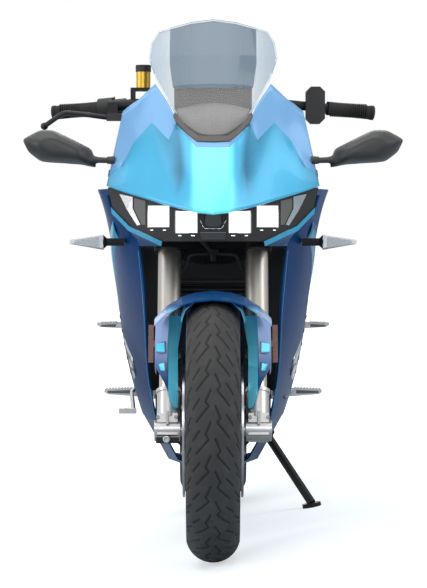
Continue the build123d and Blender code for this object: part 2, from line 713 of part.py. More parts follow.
def subframe(frame):
    """Seat rails: an upper and a lower tube each side, with cross tubes."""
    made = []
    for s in (-1, 1):
        joint = (s * 84, 560, 724)
        made.append(rod((s * 140, 60, 590), joint, RAIL_R))
        made.append(rod(joint, (s * 44, 900, 838), RAIL_R))
        made.append(rod((s * PIVOT_PLATE_X, PIVOT_Y + 18, 438), joint, RAIL_R))
        made.append(Pos(*joint) * Sphere(RAIL_R))
        made.append(rod((s * 127, SHOCK_TOP[0], SHOCK_TOP[1]),
                        (s * (SHOCK_HALF + TOUCH), SHOCK_TOP[0], SHOCK_TOP[1]), 13))
        made.append(rod((s * 90, 500, 704), (s * 90, 500, SEAT_BASE_Z - TOUCH), 8))
        made.append(rod((s * 30, 850, 821),
                        (s * 30, 850, seat_line(TAIL, 6, 850) - 2.4), 6))
    made.append(rod((-84, 560, 724), (84, 560, 724), 10))
    made.append(rod((-50, 850, 821), (50, 850, 821), 10))
    made.append(rod((-SHOCK_HALF - 2, *SHOCK_TOP), (SHOCK_HALF + 2, *SHOCK_TOP), 6))
    return fused(*made) - frame


def power_block():
    """The battery case with cooling ribs, and the motor across the bike."""
    case_ = tilted_box((-104, 104), (-322, 40), (236, 700))
    case_ = chamfer(case_.edges().filter_by(Axis.Y), 26)
    for z in range(300, 660, 40):
        for s in (-1, 1):
            case_ = case_ - Pos(s * 104, -141, z) * Box(12, 400, 12)
    motor = rod((-98, 100, 352), (92, 100, 352), MOTOR_R)
    shaft = rod((90, DRIVE_Y, DRIVE_Z), (CHAIN_X + 7, DRIVE_Y, DRIVE_Z),
                MOTOR_SHAFT_R - 0.05)
    snout = rod((60, DRIVE_Y, DRIVE_Z), (CHAIN_X - 12, DRIVE_Y, DRIVE_Z), 28)
    low = FAIRING[1]
    stays = [rod((s * 90, STAY_Y, low[0]), (s * fairing_x(low, STAY_Y), STAY_Y, low[0]), 9)
             for s in (-1, 1)]
    lugs = [rod((s * 90, -60, 600), (s * 129.5, -60, 600), 12) for s in (-1, 1)]
    return fused(case_, motor, snout, shaft, *stays, *lugs)


def swingarm():
    tube = rod((-PIVOT_PLATE_X + 15.5, PIVOT_Y, PIVOT_Z),
               (PIVOT_PLATE_X - 15.5, PIVOT_Y, PIVOT_Z), 29)
    tube = tube - rod((-200, PIVOT_Y, PIVOT_Z), (200, PIVOT_Y, PIVOT_Z),
                      PIVOT_BOLT_R + 0.05)
    brace = tilted_box((-84, 84), (PIVOT_Y + 20, 334), (PIVOT_Z - 20, PIVOT_Z + 18))
    bridge = tilted_box((-ARM_X, ARM_X), (PIVOT_Y + 60, 336),
                        (PIVOT_Z - 20, PIVOT_Z + 18))
    lugs = []
    for s in (-1, 1):
        lugs.append(Pos(s * (SHOCK_HALF + TOUCH + 4), SHOCK_FOOT[0], SHOCK_FOOT[1] - 9)
                    * Box(8, 34, 40))
    bolt = rod((-SHOCK_HALF - 8, *SHOCK_FOOT), (SHOCK_HALF + 8, *SHOCK_FOOT), 6)
    # x, y, z of the middle, width and height of each arm station
    arm = [
        (ARM_X, PIVOT_Y + 50, PIVOT_Z - 2, ARM_W, 56),
        (ARM_X, 420, 366, ARM_W, 84),
        (ARM_X, REAR_AXLE_Y - 100, REAR_TYRE_R + 13, ARM_W, 62),
        (ARM_X, REAR_AXLE_Y + 50, REAR_TYRE_R, ARM_W, 52),
    ]
    left = beam(arm)
    whole = fused(tube, brace, bridge, left, mirrored(left), bolt, *lugs)
    face = ARM_X + ARM_W / 2
    for s in (-1, 1):
        whole = whole + rod((s * (face - 6), *BOBBIN), (s * (face + 7), *BOBBIN), 13)
        whole = whole - rod((s * (face - 17), *BOBBIN), (s * (face + 8), *BOBBIN),
                            BOBBIN_R)
    return whole - rod((-200, REAR_AXLE_Y, REAR_TYRE_R), (200, REAR_AXLE_Y, REAR_TYRE_R),
                       REAR_AXLE_R)


def axles():
    front = rod((-132, FRONT_AXLE_Y, FRONT_TYRE_R), (132, FRONT_AXLE_Y, FRONT_TYRE_R),
                FRONT_AXLE_R, FRONT_AXLE_BORE)
    keep("front_axle", front)
    rear = rod((-166, REAR_AXLE_Y, REAR_TYRE_R), (166, REAR_AXLE_Y, REAR_TYRE_R),
               REAR_AXLE_R, REAR_AXLE_BORE)
    spacers = []
    for x_from, x_to in ((REAR_HUB_HALF + TOUCH, ARM_X - ARM_W / 2),):
        spacers.append(rod((-x_to, REAR_AXLE_Y, REAR_TYRE_R),
                           (-x_from, REAR_AXLE_Y, REAR_TYRE_R), 22, REAR_AXLE_BORE))
    spacers.append(rod((CHAIN_X + 5, REAR_AXLE_Y, REAR_TYRE_R),
                       (ARM_X - 13, REAR_AXLE_Y, REAR_TYRE_R), 22, REAR_AXLE_BORE))
    for s in (-1, 1):
        spacers.append(rod((s * (ARM_X + ARM_W / 2), REAR_AXLE_Y, REAR_TYRE_R),
                           (s * (ARM_X + 24), REAR_AXLE_Y, REAR_TYRE_R), 24,
                           REAR_AXLE_BORE))
    keep("rear_axle", fused(rear, *spacers))


def rear_shock():
    """Coil spring drawn as a sleeve, round a damper with an eye at each end."""
    foot, top = Vector(0, *SHOCK_FOOT), Vector(0, *SHOCK_TOP)
    run = (top - foot).normalized()
    body = rod(foot, top, 15.5)
    spring = rod(foot + run * 26, top - run * 26, 31, 15.5)
    eyes = [rod((-SHOCK_HALF, *at), (SHOCK_HALF, *at), 16) for at in (SHOCK_FOOT, SHOCK_TOP)]
    bores = [rod((-40, *at), (40, *at), 6 + 0.05) for at in (SHOCK_FOOT, SHOCK_TOP)]
    return fused(body, spring, *eyes) - bores[0] - bores[1]


# ------------------------------------------------------------ body panels
# Levels of the nose surface: height, then x and y of the centre crease, the
# screen crease, the brow crease and the outer edge, on the left half.
NOSE = [
    (775, 12, -772, 60, -748, 142, -684, 262, -562),
    (860, 24, -730, 76, -708, 150, -652, 248, -562),
    (972, 33, -622, 84, -608, 150, -584, 232, -548),
    (1060, 52, -562, 96, -552, 142, -538, 212, -522),
    (1160, 62, -492, 100, -480, 134, -466, 172, -446),
    (1262, 50, -402, 84, -392, 120, -378, 160, -360),
]
# Front outlines (x, z) from the centre plane outwards and round, left half.
COWL_OUTLINE = [
    (0, 788), (34, 793), (84, 806), (157, 828), (245, 856),
    (208, 1040), (134, 1103), (86, 1016), (78, 1006), (30, 973), (0, 970),
]
SCREEN_OUTLINE = [
    (0, 970.6), (30, 973.6), (77.6, 1006.6), (85.6, 1016.6), (133.6, 1103.6),
    (151, 1155), (145, 1194), (128, 1222), (52, 1243), (0, 1250),
]


def nose_surface(wall):
    """The whole nose as one moulded skin, before it is trimmed."""
    faces = [
        sheet_section(nose_line(row, 0), "L" * 7, wall, level(row[0])) for row in NOSE
    ]
    return loft(faces, ruled=True)


def trimmed_nose(outline, wall):
    return nose_surface(wall) & front_prism(both_sides(outline), -900, -200)


# Levels of the side fairing: height, then x and y of the front edge, of the
# widest line and of the rear edge, on the left.
FAIRING = [
    (300, 134, -372, 165, -200, 168, 150),
    (425, 154, -415, 203, -180, 196, 160),
    (560, 160, -434, 228, -180, 214, 60),
    (700, 172, -450, 245, -200, 226, -40),
    (850, 205, -528, 266, -380, 240, -90),
]
# Stations of the belly pan: y, then half width and height of the side's turn,
# and the keel's height. The upper edge meets the fairing's lowest level.
BELLY = [
    (-356, 84, 206, 186),
    (-120, 110, 190, 166),
    (150, 104, 184, 168),
]


def fairing_side():
    faces = [
        sheet_section([(xf, yf), (xw, yw), (xr, yr)], "A", WALL, level(z))
        for z, xf, yf, xw, yw, xr, yr in FAIRING
    ]
    return loft(faces)


BELLY_DROP = 1.55        # from the fairing's lowest level down to the belly's edge


def belly_pan():
    faces = []
    for y, wt, zt, zk in BELLY:
        edge = (plan_x(FAIRING[0], y) - 2, FAIRING[0][0] - BELLY_DROP)
        half = [edge, (wt, zt), (wt * 0.4, zk)]
        points = [(-x, z) for x, z in half] + [(x, z) for x, z in reversed(half)]
        faces.append(sheet_section(points, "L" * 5, WALL, station(y)))
    return loft(faces, ruled=True)


# The lamp unit's lowest level, in the nose's columns; its top follows the nose.
LAMP_FOOT = (727, 20, -694, 70, -684, 134, -650, 215, -585)
LAMP_TOP_Z = 860
LAMP_OUTLINE = [
    (0, 727), (116, 727), (192, 762), (236, 806), (243, 852), (157, 840), (84, 818),
    (34, 806), (0, 801),
]


def nose_line(row, inset):
    """One level of the nose as plan points, moved in from the skin."""
    _, x1, y1, x2, y2, x3, y3, x4, y4 = row
    half = [(x1, y1), (x2, y2), (x3, y3), (x4, y4)]
    points = [(-x, y) for x, y in reversed(half)] + half
    return inner_points(points, inset) if inset else points


# The four square lamps: middle x and z, and the y of the lens's front face.
LAMPS = [(60, 771, -690), (124, 784, -642)]
LENS_SIZE = 47.0
LENS_T = 8.0
LENS_ROOM = 1.5          # each side of a lens in its pocket
# Lower edge of the lamp unit, where the lips run under it, as (x, z).
LIP_LINE = [(116, 727), (192, 762), (236, 806)]
LIP_H = 11.0
LIP_T = 16.0


def lamp_skin(outline, depth, inset, foot_z):
    """The lamp unit's face, which follows the nose, cut to a front outline."""
    top = next(row for row in NOSE if row[0] == LAMP_TOP_Z)
    faces = []
    for row, moved, z in ((LAMP_FOOT, inset, foot_z), (top, WALL + TOUCH + inset, top[0])):
        faces.append(sheet_section(nose_line(row, moved), "L" * 7, depth, level(z)))
    return loft(faces, ruled=True) & outline


def lamp_boxes(room, t_front, t_back):
    """A block for each square lamp, from its lens's face by two distances."""
    half = LENS_SIZE / 2 + room
    return [
        tilted_box((s * x - half, s * x + half), (y - t_front, y + t_back),
                   (z - half, z + half))
        for x, z, y in LAMPS for s in (-1, 1)
    ]


def lamp_unit(depth):
    """The black housing, with a pocket for each lamp."""
    outline = front_prism(both_sides(LAMP_OUTLINE), -900, -300)
    whole = lamp_skin(outline, depth, 0, LAMP_FOOT[0])
    for pocket in lamp_boxes(LENS_ROOM, 60, LENS_T + TOUCH):
        whole = whole - pocket
    return longest(whole)


def lamp_lips():
    """A lip under each side of the lamp unit, as deep as the paint's edge."""
    made = []
    for s in (-1, 1):
        upper = [(s * x, z - TOUCH) for x, z in LIP_LINE]
        lower = [(s * (x + 2), z - LIP_H) for x, z in reversed(LIP_LINE)]
        outline = front_prism(upper + lower, -900, -300)
        made.append(longest(lamp_skin(outline, LIP_T, -3, LAMP_FOOT[0] - 20)))
    return made


# Levels of each cheek, between lip and side fairing: height, then x and y of its
# front edge, its fold and its rear edge.
CHEEK = [
    (716, 118, -638, 160, -560, 175, -457),
    (752, 190, -590, 196, -546, 183, -476),
    (796, 236, -557, 230, -526, 193, -499),
    (834, 247, -544, 240, -526, 202, -515),
]


def cheek():
    """The panel behind each lip, back to the front edge of the side fairing."""
    faces = [
        sheet_section([(xf, yf), (xm, ym), (xr, yr)], "LL", WALL, level(z))
        for z, xf, yf, xm, ym, xr, yr in CHEEK
    ]
    return loft(faces, ruled=True)


def nose_inside():
    """The room behind the nose's skin, back to the bars."""
    faces = []
    for row in NOSE:
        points = nose_line(row, WALL + TOUCH)
        points = [(points[0][0], -200)] + points + [(points[-1][0], -200)]
        faces.append(make_face(Polyline(*[(x, y, row[0]) for x, y in points], close=True)))
    return loft(faces, ruled=True)


def nose_stay(frame, lamps):
    """Tubes from the steering head to a cross tube, which carries nose and lamps."""
    y, z = NOSE_STAY_Y, NOSE_STAY_Z
    stay = rod((-132, y, z), (132, y, z), 8)
    room = nose_inside()
    for s in (-1, 1):
        stay = stay + Pos(s * 132, y, z) * Sphere(10)
        stay = stay + (rod((s * 132, y, z), (s * 270, y + 70, z), 8) & room)
        stay = stay + longest(rod((s * 15, y + 154, z - 16), (s * 15, y + 2, z), 7) - frame)
        stay = stay + longest(rod((s * 60, y - 1, z - 2), (s * 60, y - 44, z - 84), 6.5)
                              - lamps)
        stay = stay + rod((s * DASH_LEG_X, y + 1, z + 2),
                          (s * DASH_LEG_X, DASH_AT[1] + 4, DASH_AT[2] - 26), 5)
    return stay


DASH_AT = (0.0, -500.0, 1034.0)
DASH_SIZE = (150.0, 20.0, 84.0)
DASH_TILT = 32.0         # its face looks up at the rider
DASH_LEG_X = 32.0


def dash():
    """The display: a tray with a raised hood round its screen."""
    w, t, h = DASH_SIZE
    tray = Box(w, t, h)
    tray = chamfer(tray.edges().filter_by(Axis.Y), 16)
    tray = tray - Pos(0, t / 2 - 2, 0) * Box(w - 22, 4, h - 22)
    hood = Pos(0, t / 2 + 7, h / 2 - 5) * Box(w - 34, 15, 7)
    whole = Pos(*DASH_AT) * (Rot(-DASH_TILT, 0, 0) * fused(tray, hood))
    for s in (-1, 1):
        whole = whole - rod((s * DASH_LEG_X, NOSE_STAY_Y, NOSE_STAY_Z),
                            (s * DASH_LEG_X, DASH_AT[1] + 4, DASH_AT[2] - 26), 5 + TOUCH)
    return longest(whole)


TANK = [
    (-300, 60, 935, 105, 885, 100, 850),
    (-120, 95, 955, 165, 880, 150, 780),
    (60, 85, 935, 150, 850, 132, 744),
    (215, 60, 858, 96, 800, 100, 744),
]
RIDER_SEAT = [
    (215 + TOUCH, 62, 826, 88, 800, 80, SEAT_BASE_Z),
    (380, 118, 800, 150, 782, 130, SEAT_BASE_Z),
    (540, 128, 822, 154, 800, 126, SEAT_BASE_Z),
]
TAIL = [
    (540 + TOUCH, 112, 862, 150, 815, 112, 742),
    (760, 92, 902, 124, 868, 84, 808),
    (1000, 52, 944, 76, 924, 42, 890),
    (1060, 30, 952, 44, 940, 28, 918),
]
PILLION_SEAT = [
    (y, wt, seat_z + 32, wm, seat_z + 18, wb, seat_z + TOUCH)
    for y, wt, wm, wb, seat_z in (
        (560, 84, 100, 96, 862 + 40 * 19.7 / 219.7),
        (680, 82, 94, 86, 862 + 40 * 139.7 / 219.7),
        (760, 72, 84, 80, 902),
        (800, 60, 72, 70, 909),
    )
]


MIRROR_OUTLINE = [(269, 896), (279, 940), (328, 965), (372, 986), (402, 985),
                  (443, 963), (428, 933), (398, 910), (307, 904)]
MIRROR_MIDDLE = (352, 940)


def mirror_face(y, scale):
    """The mirror's outline at a place along the bike, drawn in about its middle."""
    cx, cz = MIRROR_MIDDLE
    points = [(cx + (x - cx) * scale, y, cz + (z - cz) * scale) for x, z in MIRROR_OUTLINE]
    return make_face(Polyline(*points, close=True))


def mirror_unit():
    """A housing that swells from its nose to its rim, on a stalk."""
    nose = loft([mirror_face(-592, 0.55), mirror_face(-570, 0.86)], ruled=True)
    rim_ = loft([mirror_face(-570, 0.86), mirror_face(-546, 1.0)], ruled=True)
    rear = loft([mirror_face(-546, 1.0), mirror_face(-528, 1.0)], ruled=True)
    stalk = rod((235.15, -558, 914), (290, -556, 916), 9)
    recess = loft([mirror_face(-534, 0.92), mirror_face(-520, 0.92)], ruled=True)
    return fused(nose, rim_, rear, stalk) - recess


def mirror_glass():
    return loft([mirror_face(-534 + TOUCH, 0.90), mirror_face(-531, 0.90)], ruled=True)


def rider_peg():
    """A hanger plate with a hole, and the peg, which tapers to its tip."""
    out = PIVOT_PLATE_X + 21 + TOUCH
    hanger = side_plate([(186, 440), (236, 436), (262, 352), (244, 318), (196, 318),
                         (182, 352)], out, PIVOT_PLATE_X + 31)
    hanger = hanger - rod((out - 5, 214, 396), (out + 20, 214, 396), 15)
    bar = front_prism([(out + 20, 349), (279, 345), (281, 337), (272, 331),
                       (out + 20, 324)], 207, 237)
    boss = rod((PIVOT_PLATE_X + 24, 222, 336), (PIVOT_PLATE_X + 44, 222, 336), 18)
    return fused(hanger, boss, bar)


def pillion_peg(rail):
    hanger = side_plate([(520, 700), (590, 700), (574, 492), (534, 482)], 160, 168)
    hanger = hanger - side_plate([(536, 676), (574, 676), (564, 540), (544, 540)], 150, 180)
    stub = rod((94, 560, 690), (164, 560, 690), 10)
    neck = rod((84, 560, 724), (96, 560, 688), 9)
    bar = front_prism([(164, 511), (312, 507), (313, 500), (304, 494), (164, 487)],
                      538, 566)
    return fused(hanger, stub, neck, bar) - rail


def brake_pedal():
    """The foot lever on the right, which reaches forward outside the fairing."""
    out = PIVOT_PLATE_X + 31 + TOUCH
    boss = rod((-out, 200, 372), (-out - 26, 200, 372), 9)
    arm = bent_rod([(-out - 20, 200, 372), (-208, 150, 338), (-201, 58, 298)], 24, 5.5)
    pad = tilted_box((-238, -194), (46, 72), (291, 304))
    return fused(boss, arm, pad)


def radiator():
    """A cooler on the battery's nose: a frame, and fins between its tanks."""
    y = -322 - TOUCH
    frame_ = tilted_box((-112, 112), (y - 30, y), (430, 640))
    frame_ = frame_ - tilted_box((-96, 96), (y - 31, y - 12), (446, 624))
    fins = [tilted_box((-97, 97), (y - 24, y - 11), (z, z + 4)) for z in range(454, 620, 13)]
    return fused(frame_, *fins)


# ------------------------------------------------------------ rear end
HUGGER_TURN = (-76, -6)  # from the swingarm up over the tyre, degrees from its top
HUGGER_GAP = 12.0


def rear_hugger():
    """A guard close over the rear tyre, held by a pin to each arm."""
    near = REAR_TYRE_R + HUGGER_GAP
    row = [(0, near), (48, near - 11), (84, near - 34), (98, near - 62)]
    inner = [(-x, r) for x, r in reversed(row[1:])] + row
    skin = [(x, r + FENDER_WALL) for x, r in reversed(inner)]
    start, end = HUGGER_TURN
    face = make_face(Polyline(*[(x, 0, r) for x, r in inner + skin], close=True))
    arch = revolve(Rot(-start, 0, 0) * face, axis=Axis.X, revolution_arc=-(end - start))
    arch = Pos(0, REAR_AXLE_Y, REAR_TYRE_R) * arch
    turn = math.radians(-start - 6)
    r = near - 60
    y, z = REAR_AXLE_Y - r * math.sin(turn), REAR_TYRE_R + r * math.cos(turn)
    inside = ARM_X - ARM_W / 2 - TOUCH
    return fused(arch, *[rod((s * 97, y, z), (s * inside, y, z), 7) for s in (-1, 1)])


def rear_caliper():
    """A block round the rear disc, on a lug down the right arm's inner face."""
    inside = ARM_X - ARM_W / 2 - TOUCH
    turn = Pos(0, REAR_AXLE_Y, REAR_TYRE_R) * Rot(36, 0, 0)
    block = Box(inside - 82, 92, 40)
    block = chamfer(block.edges().filter_by(Axis.X), 9)
    block = turn * (Pos(-(inside + 82) / 2, 0, REAR_DISC_R - 6) * block)
    lug = tilted_box((-inside, -inside + 8), (REAR_AXLE_Y - 90, REAR_AXLE_Y - 56),
                     (REAR_TYRE_R, REAR_TYRE_R + 80))
    slot = Pos(REAR_DISC_X, REAR_AXLE_Y, REAR_TYRE_R) * (
        Rot(0, 90, 0) * Cylinder(REAR_DISC_R + DISC_ROOM, DISC_T + 2 * DISC_ROOM))
    return longest(fused(block, lug) - slot)


def tail_lamp():
    """A lens across the end of the tail."""
    y, wt, zt, wm, zm, wb, zb = TAIL[-1]
    return hull([(y + TOUCH, wt - 3, zt - 3, wm - 3, zm, wb - 3, zb + 3),
                 (y + 13, wt - 8, zt - 7, wm - 9, zm, wb - 8, zb + 7)])


# ------------------------------------------------------------ front details
def fork_reflectors():
    """A plate on a strap behind each fork leg, which stands out past the fender."""
    made = []
    back = AXLE_V + OUTER_TUBE_R + TOUCH
    for s in (-1, 1):
        plate = Pos(s * 143, back + 2, REFLECTOR_W) * Box(12, 4, 92)
        strap = Pos(s * 120, back + 2, REFLECTOR_W) * Box(50, 4, 14)
        made.append(on_fork(fused(plate, strap)))
    return made


# Run of the hose from the splitter to the left caliper, in the fork's axes.
HOSE_DOWN = [(5, -50, 742), (52, -50, 740), (78, 4, 704), (82, 22, 630), (82, 41, 470),
             (82, 41, 455)]
# Run from the brake pump's end to the splitter, in the fork's axes.
HOSE_UP = [(-172.9, -28.7, 1138.7), (-138, -60, 1108), (-104, -88, 1010), (-88, -84, 930),
           (-58, -68, 806), (-14, -68, 750), (-4, -54, 744)]
HOSE_R = 4.0


def brake_hoses():
    """Pump to splitter, and from there a hose down to each caliper."""
    splitter = fused(Box(26, 16, 14), Pos(0, 0, -12) * Cylinder(7, 16))
    top = LOWER_YOKE_W - TOUCH - 7
    whole = on_fork(Pos(0, -50, top) * splitter)
    for s in (-1, 1):
        points = [fork_point(s * x, v, w) for x, v, w in HOSE_DOWN]
        whole = whole + bent_rod(points, 14, HOSE_R)
    whole = whole + bent_rod([fork_point(*at) for at in HOSE_UP], 16, HOSE_R)
    calipers = fused(*NODES["front_calipers"].solids())
    return longest(whole - calipers)


def indicator(y, z, x_root):
    stalk = rod((x_root, y, z), (x_root + 48, y, z), 9)
    lens = front_prism([(x_root + 48, z - 17), (x_root + 128, z - 5),
                        (x_root + 128, z + 5), (x_root + 48, z + 17)], y - 16, y + 16)
    return stalk, lens


# ------------------------------------------------------------ side stand
def ground_z(x):
    """Height of the ground, in the upright frame, under a point x out."""
    return (x * math.sin(math.radians(LEAN)) - crown_drop()) / math.cos(
        math.radians(LEAN)
    )


def crown_drop():
    """How far the rear tyre's lowest line sinks as the bike leans."""
    return REAR_CROWN_R * (1 - math.cos(math.radians(LEAN)))


STAND_PIVOT = (128.0, 220.0, 233.0)
STAND_AXIS = (1.0, 0.209, 0.2)       # turns the leg back and in against the belly
STAND_FRAME = Plane(origin=STAND_PIVOT, x_dir=(0.209, -1.0, 0.0), z_dir=STAND_AXIS)
EYE_R = 20.0
EYE_FROM, EYE_TO = 1.0, 23.0         # faces of the eye, along the pin
PAD_T = 10.0
STAND_FOOT_X = 252.0
STAND_FOOT_Y = 136.0


def on_pin(radius, z_from, z_to):
    """A cylinder round the stand's pin, between two places along it."""
    return STAND_FRAME.location * (Pos(0, 0, (z_from + z_to) / 2)
                                   * Cylinder(radius, z_to - z_from))


def side_stand():
    px, py, pz = STAND_PIVOT
    foot_z = ground_z(STAND_FOOT_X) + PAD_T / 2 / math.cos(math.radians(LEAN))
    leg = rod((px + 12, py - 2, pz - 8), (STAND_FOOT_X, STAND_FOOT_Y, foot_z + 5), 11)
    pad = Pos(STAND_FOOT_X, STAND_FOOT_Y, foot_z) * (
        Rot(0, -LEAN, 0) * Cylinder(24, PAD_T)
    )
    behind = on_pin(EYE_R + 20, EYE_FROM - 40, EYE_FROM)
    return fused(leg, on_pin(EYE_R, EYE_FROM, EYE_TO), pad) - behind - on_pin(
        STAND_PIN_R + 0.05, -20, 40
    )


def stand_bracket():
    """The lug under the left pivot plate, with the stand's pin and its head."""
    px, py, pz = STAND_PIVOT
    lug = on_pin(EYE_R + 2, -12, EYE_FROM - TOUCH)
    web = beam([(px - 10, py - 20, pz + 30, 14, 44), (px - 10, py + 24, pz + 30, 14, 44)])
    web = web - on_pin(EYE_R + 40, EYE_FROM - TOUCH, EYE_TO + 20)
    return fused(lug, web, on_pin(STAND_PIN_R, -12, EYE_TO + 6),
                 on_pin(STAND_PIN_R + 4, EYE_TO + TOUCH, EYE_TO + 6))


def lean(shape):
    return Rot(0, LEAN, 0) * shape


def panels(rails):
    keep("nose_cowl", trimmed_nose(COWL_OUTLINE, WALL))
    keep("windscreen", trimmed_nose(SCREEN_OUTLINE, SCREEN_T))
    side = fairing_side()
    keep("fairing_left", side)
    keep("fairing_right", mirrored(side))
    keep("belly_pan", belly_pan())
    keep("headlamp_unit", lamp_unit(46))
    keep("headlamp_lenses", *lamp_boxes(0, 0, LENS_T))
    keep("lamp_lips", *lamp_lips())
    side = longest(cheek() - NODES["lamp_lips"].solids()[1])
    keep("nose_cheeks", side, mirrored(side))
    keep("nose_stay", nose_stay(NODES["main_frame"], NODES["headlamp_unit"]))
    keep("dash", dash())
    keep("tank_cover", hull(TANK))
    keep("rider_seat", hull(RIDER_SEAT))
    keep("tail_cowl", hull(TAIL))
    keep("pillion_seat", hull(PILLION_SEAT))
    keep("tail_lamp", tail_lamp())
    for name, one in (("mirrors", mirror_unit()), ("mirror_glasses", mirror_glass()),
                      ("rider_pegs", rider_peg()), ("pillion_pegs", pillion_peg(rails))):
        keep(name, one, mirrored(one))
    stalks, lenses = [], []
    for y, z, x in ((-400, 725, 210.6), (900, 880, 87.4)):
        stalk, lens = indicator(y, z, x)
        stalks += [stalk, mirrored(stalk)]
        lenses += [lens, mirrored(lens)]
    keep("indicator_stalks", *stalks)
    keep("indicator_lenses", *lenses)


def main():
    wheels()
    final_drive()
    fork()
    keep("front_calipers", *front_brakes())
    keep("front_fender", front_fender())
    keep("handlebar", handlebar())
    controls()
    axles()
    frame = fused(main_frame(), stand_bracket())
    keep("main_frame", frame)
    rails = subframe(frame)
    keep("subframe", rails)
    keep("power_block", power_block())
    keep("swingarm", swingarm())
    keep("rear_shock", rear_shock())
    keep("radiator", radiator())
    keep("rear_hugger", rear_hugger())
    keep("rear_caliper", rear_caliper())
    keep("brake_pedal", brake_pedal())
    keep("fork_reflectors", *fork_reflectors())
    keep("brake_hoses", brake_hoses())
    panels(rails)
    keep("side_stand", side_stand())
    leaned = {name: lean(shape) for name, shape in NODES.items()}
    boxes = [shape.bounding_box() for shape in leaned.values()]
    centre = Vector(
        (min(b.min.X for b in boxes) + max(b.max.X for b in boxes)) / 2,
        (min(b.min.Y for b in boxes) + max(b.max.Y for b in boxes)) / 2,
        min(b.min.Z for b in boxes),
    )
    os.makedirs("parts", exist_ok=True)
    for name, shape in leaned.items():
        export_step(Pos(-centre) * shape, f"parts/{name}.step")
    return centre


STAND_AT = main()
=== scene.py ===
"""Dresses the sport bike: paint, tread, seats, lamps, fittings and a studio."""

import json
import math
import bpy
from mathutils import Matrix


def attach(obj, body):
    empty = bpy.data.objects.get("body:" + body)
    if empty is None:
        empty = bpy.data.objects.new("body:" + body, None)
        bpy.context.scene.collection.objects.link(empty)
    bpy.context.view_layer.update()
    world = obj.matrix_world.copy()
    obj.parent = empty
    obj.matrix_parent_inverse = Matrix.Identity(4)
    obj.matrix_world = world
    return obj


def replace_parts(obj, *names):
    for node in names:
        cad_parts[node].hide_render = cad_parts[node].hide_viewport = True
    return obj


bl_info = {
    "name": "Sport Bike Dressing",
    "version": (1, 0, 0),
    "blender": (4, 5, 0),
    "location": "View3D > Sidebar > Sport Bike",
    "description": "Paint, tyres, seats, lamps and fittings on the packed sport bike",
    "category": "Object",
}

import bmesh
import bpy
from bpy.props import FloatProperty, FloatVectorProperty, IntProperty, PointerProperty
from mathutils import Matrix, Vector
from mathutils.bvhtree import BVHTree

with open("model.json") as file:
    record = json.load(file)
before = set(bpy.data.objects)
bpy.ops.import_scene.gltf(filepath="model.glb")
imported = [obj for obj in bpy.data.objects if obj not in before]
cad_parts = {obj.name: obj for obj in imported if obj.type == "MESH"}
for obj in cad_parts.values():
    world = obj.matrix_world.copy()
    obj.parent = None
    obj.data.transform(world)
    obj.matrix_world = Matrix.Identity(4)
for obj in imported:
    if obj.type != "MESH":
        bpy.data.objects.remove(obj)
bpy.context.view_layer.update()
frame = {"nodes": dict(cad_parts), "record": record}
JOINTS = {joint["name"]: joint for joint in frame["record"]["behaviour"]["joints"]}

# The bike's own upright frame, in metres: +X the rider's left, +Y the tail, and
# the origin on the ground half way between the axles.
REAR_R = 0.315
FRONT_R = 0.300
RIM_R = 0.2163
REAR_HUB = Vector(JOINTS["rear_wheel_spin"]["pos_m"])
FRONT_HUB = Vector(JOINTS["front_wheel_spin"]["pos_m"])
AXLE = Vector(JOINTS["rear_wheel_spin"]["axis"])
WHEELBASE = abs(REAR_HUB.y - FRONT_HUB.y)
PARKED = (
    Matrix.Translation(REAR_HUB)
    @ Matrix.Rotation(-math.atan2(AXLE.z, AXLE.x), 4, "Y")
    @ Matrix.Translation((0, -WHEELBASE / 2, -REAR_R))
)
UPRIGHT = PARKED.inverted()
RAKE = math.acos((UPRIGHT.to_3x3() @ Vector(JOINTS["steering"]["axis"])).z)
# Eyes of the shock, as y and z.
SHOCK_FOOT = (0.262, 0.440)
SHOCK_TOP = (0.168, 0.628)
# Foremost y of the dash.
DASH_FACE = -0.534
# Both sides of the bike, as the sign of x.
SIDES = (1, -1)
# Ways of a ray or a face.
AFT, FORWARD, INWARD, DOWN = (0, 1, 0), (0, -1, 0), (-1, 0, 0), (0, 0, -1)


def srgb(red, green, blue):
    """A colour of 0 to 255 steps as the linear one that the shaders take."""
    def linear(value):
        share = value / 255
        return share / 12.92 if share <= 0.04045 else ((share + 0.055) / 1.055) ** 2.4
    return (linear(red), linear(green), linear(blue), 1.0)


# ------------------------------------------------------------ shader maths
class Value:
    """A socket whose operators add the Math nodes of an expression."""

    def __init__(self, net, socket):
        self.net, self.socket = net, socket

    def math(self, operation, *others):
        return self.net.node("ShaderNodeMath", {"operation": operation},
                             dict(enumerate((self, *others))))

    def __add__(self, other):
        return self.math("ADD", other)

    __radd__ = __add__

    def __sub__(self, other):
        return self.math("SUBTRACT", other)

    def __rsub__(self, other):
        return self.net.node("ShaderNodeMath", {"operation": "SUBTRACT"}, {0: other, 1: self})

    def __mul__(self, other):
        return self.math("MULTIPLY", other)

    def smooth(self, low, high):
        """0 below low, 1 above high, and a soft step between."""
        return self.net.node("ShaderNodeMapRange", {"interpolation_type": "SMOOTHSTEP"},
                             {"Value": self, "From Min": low, "From Max": high})


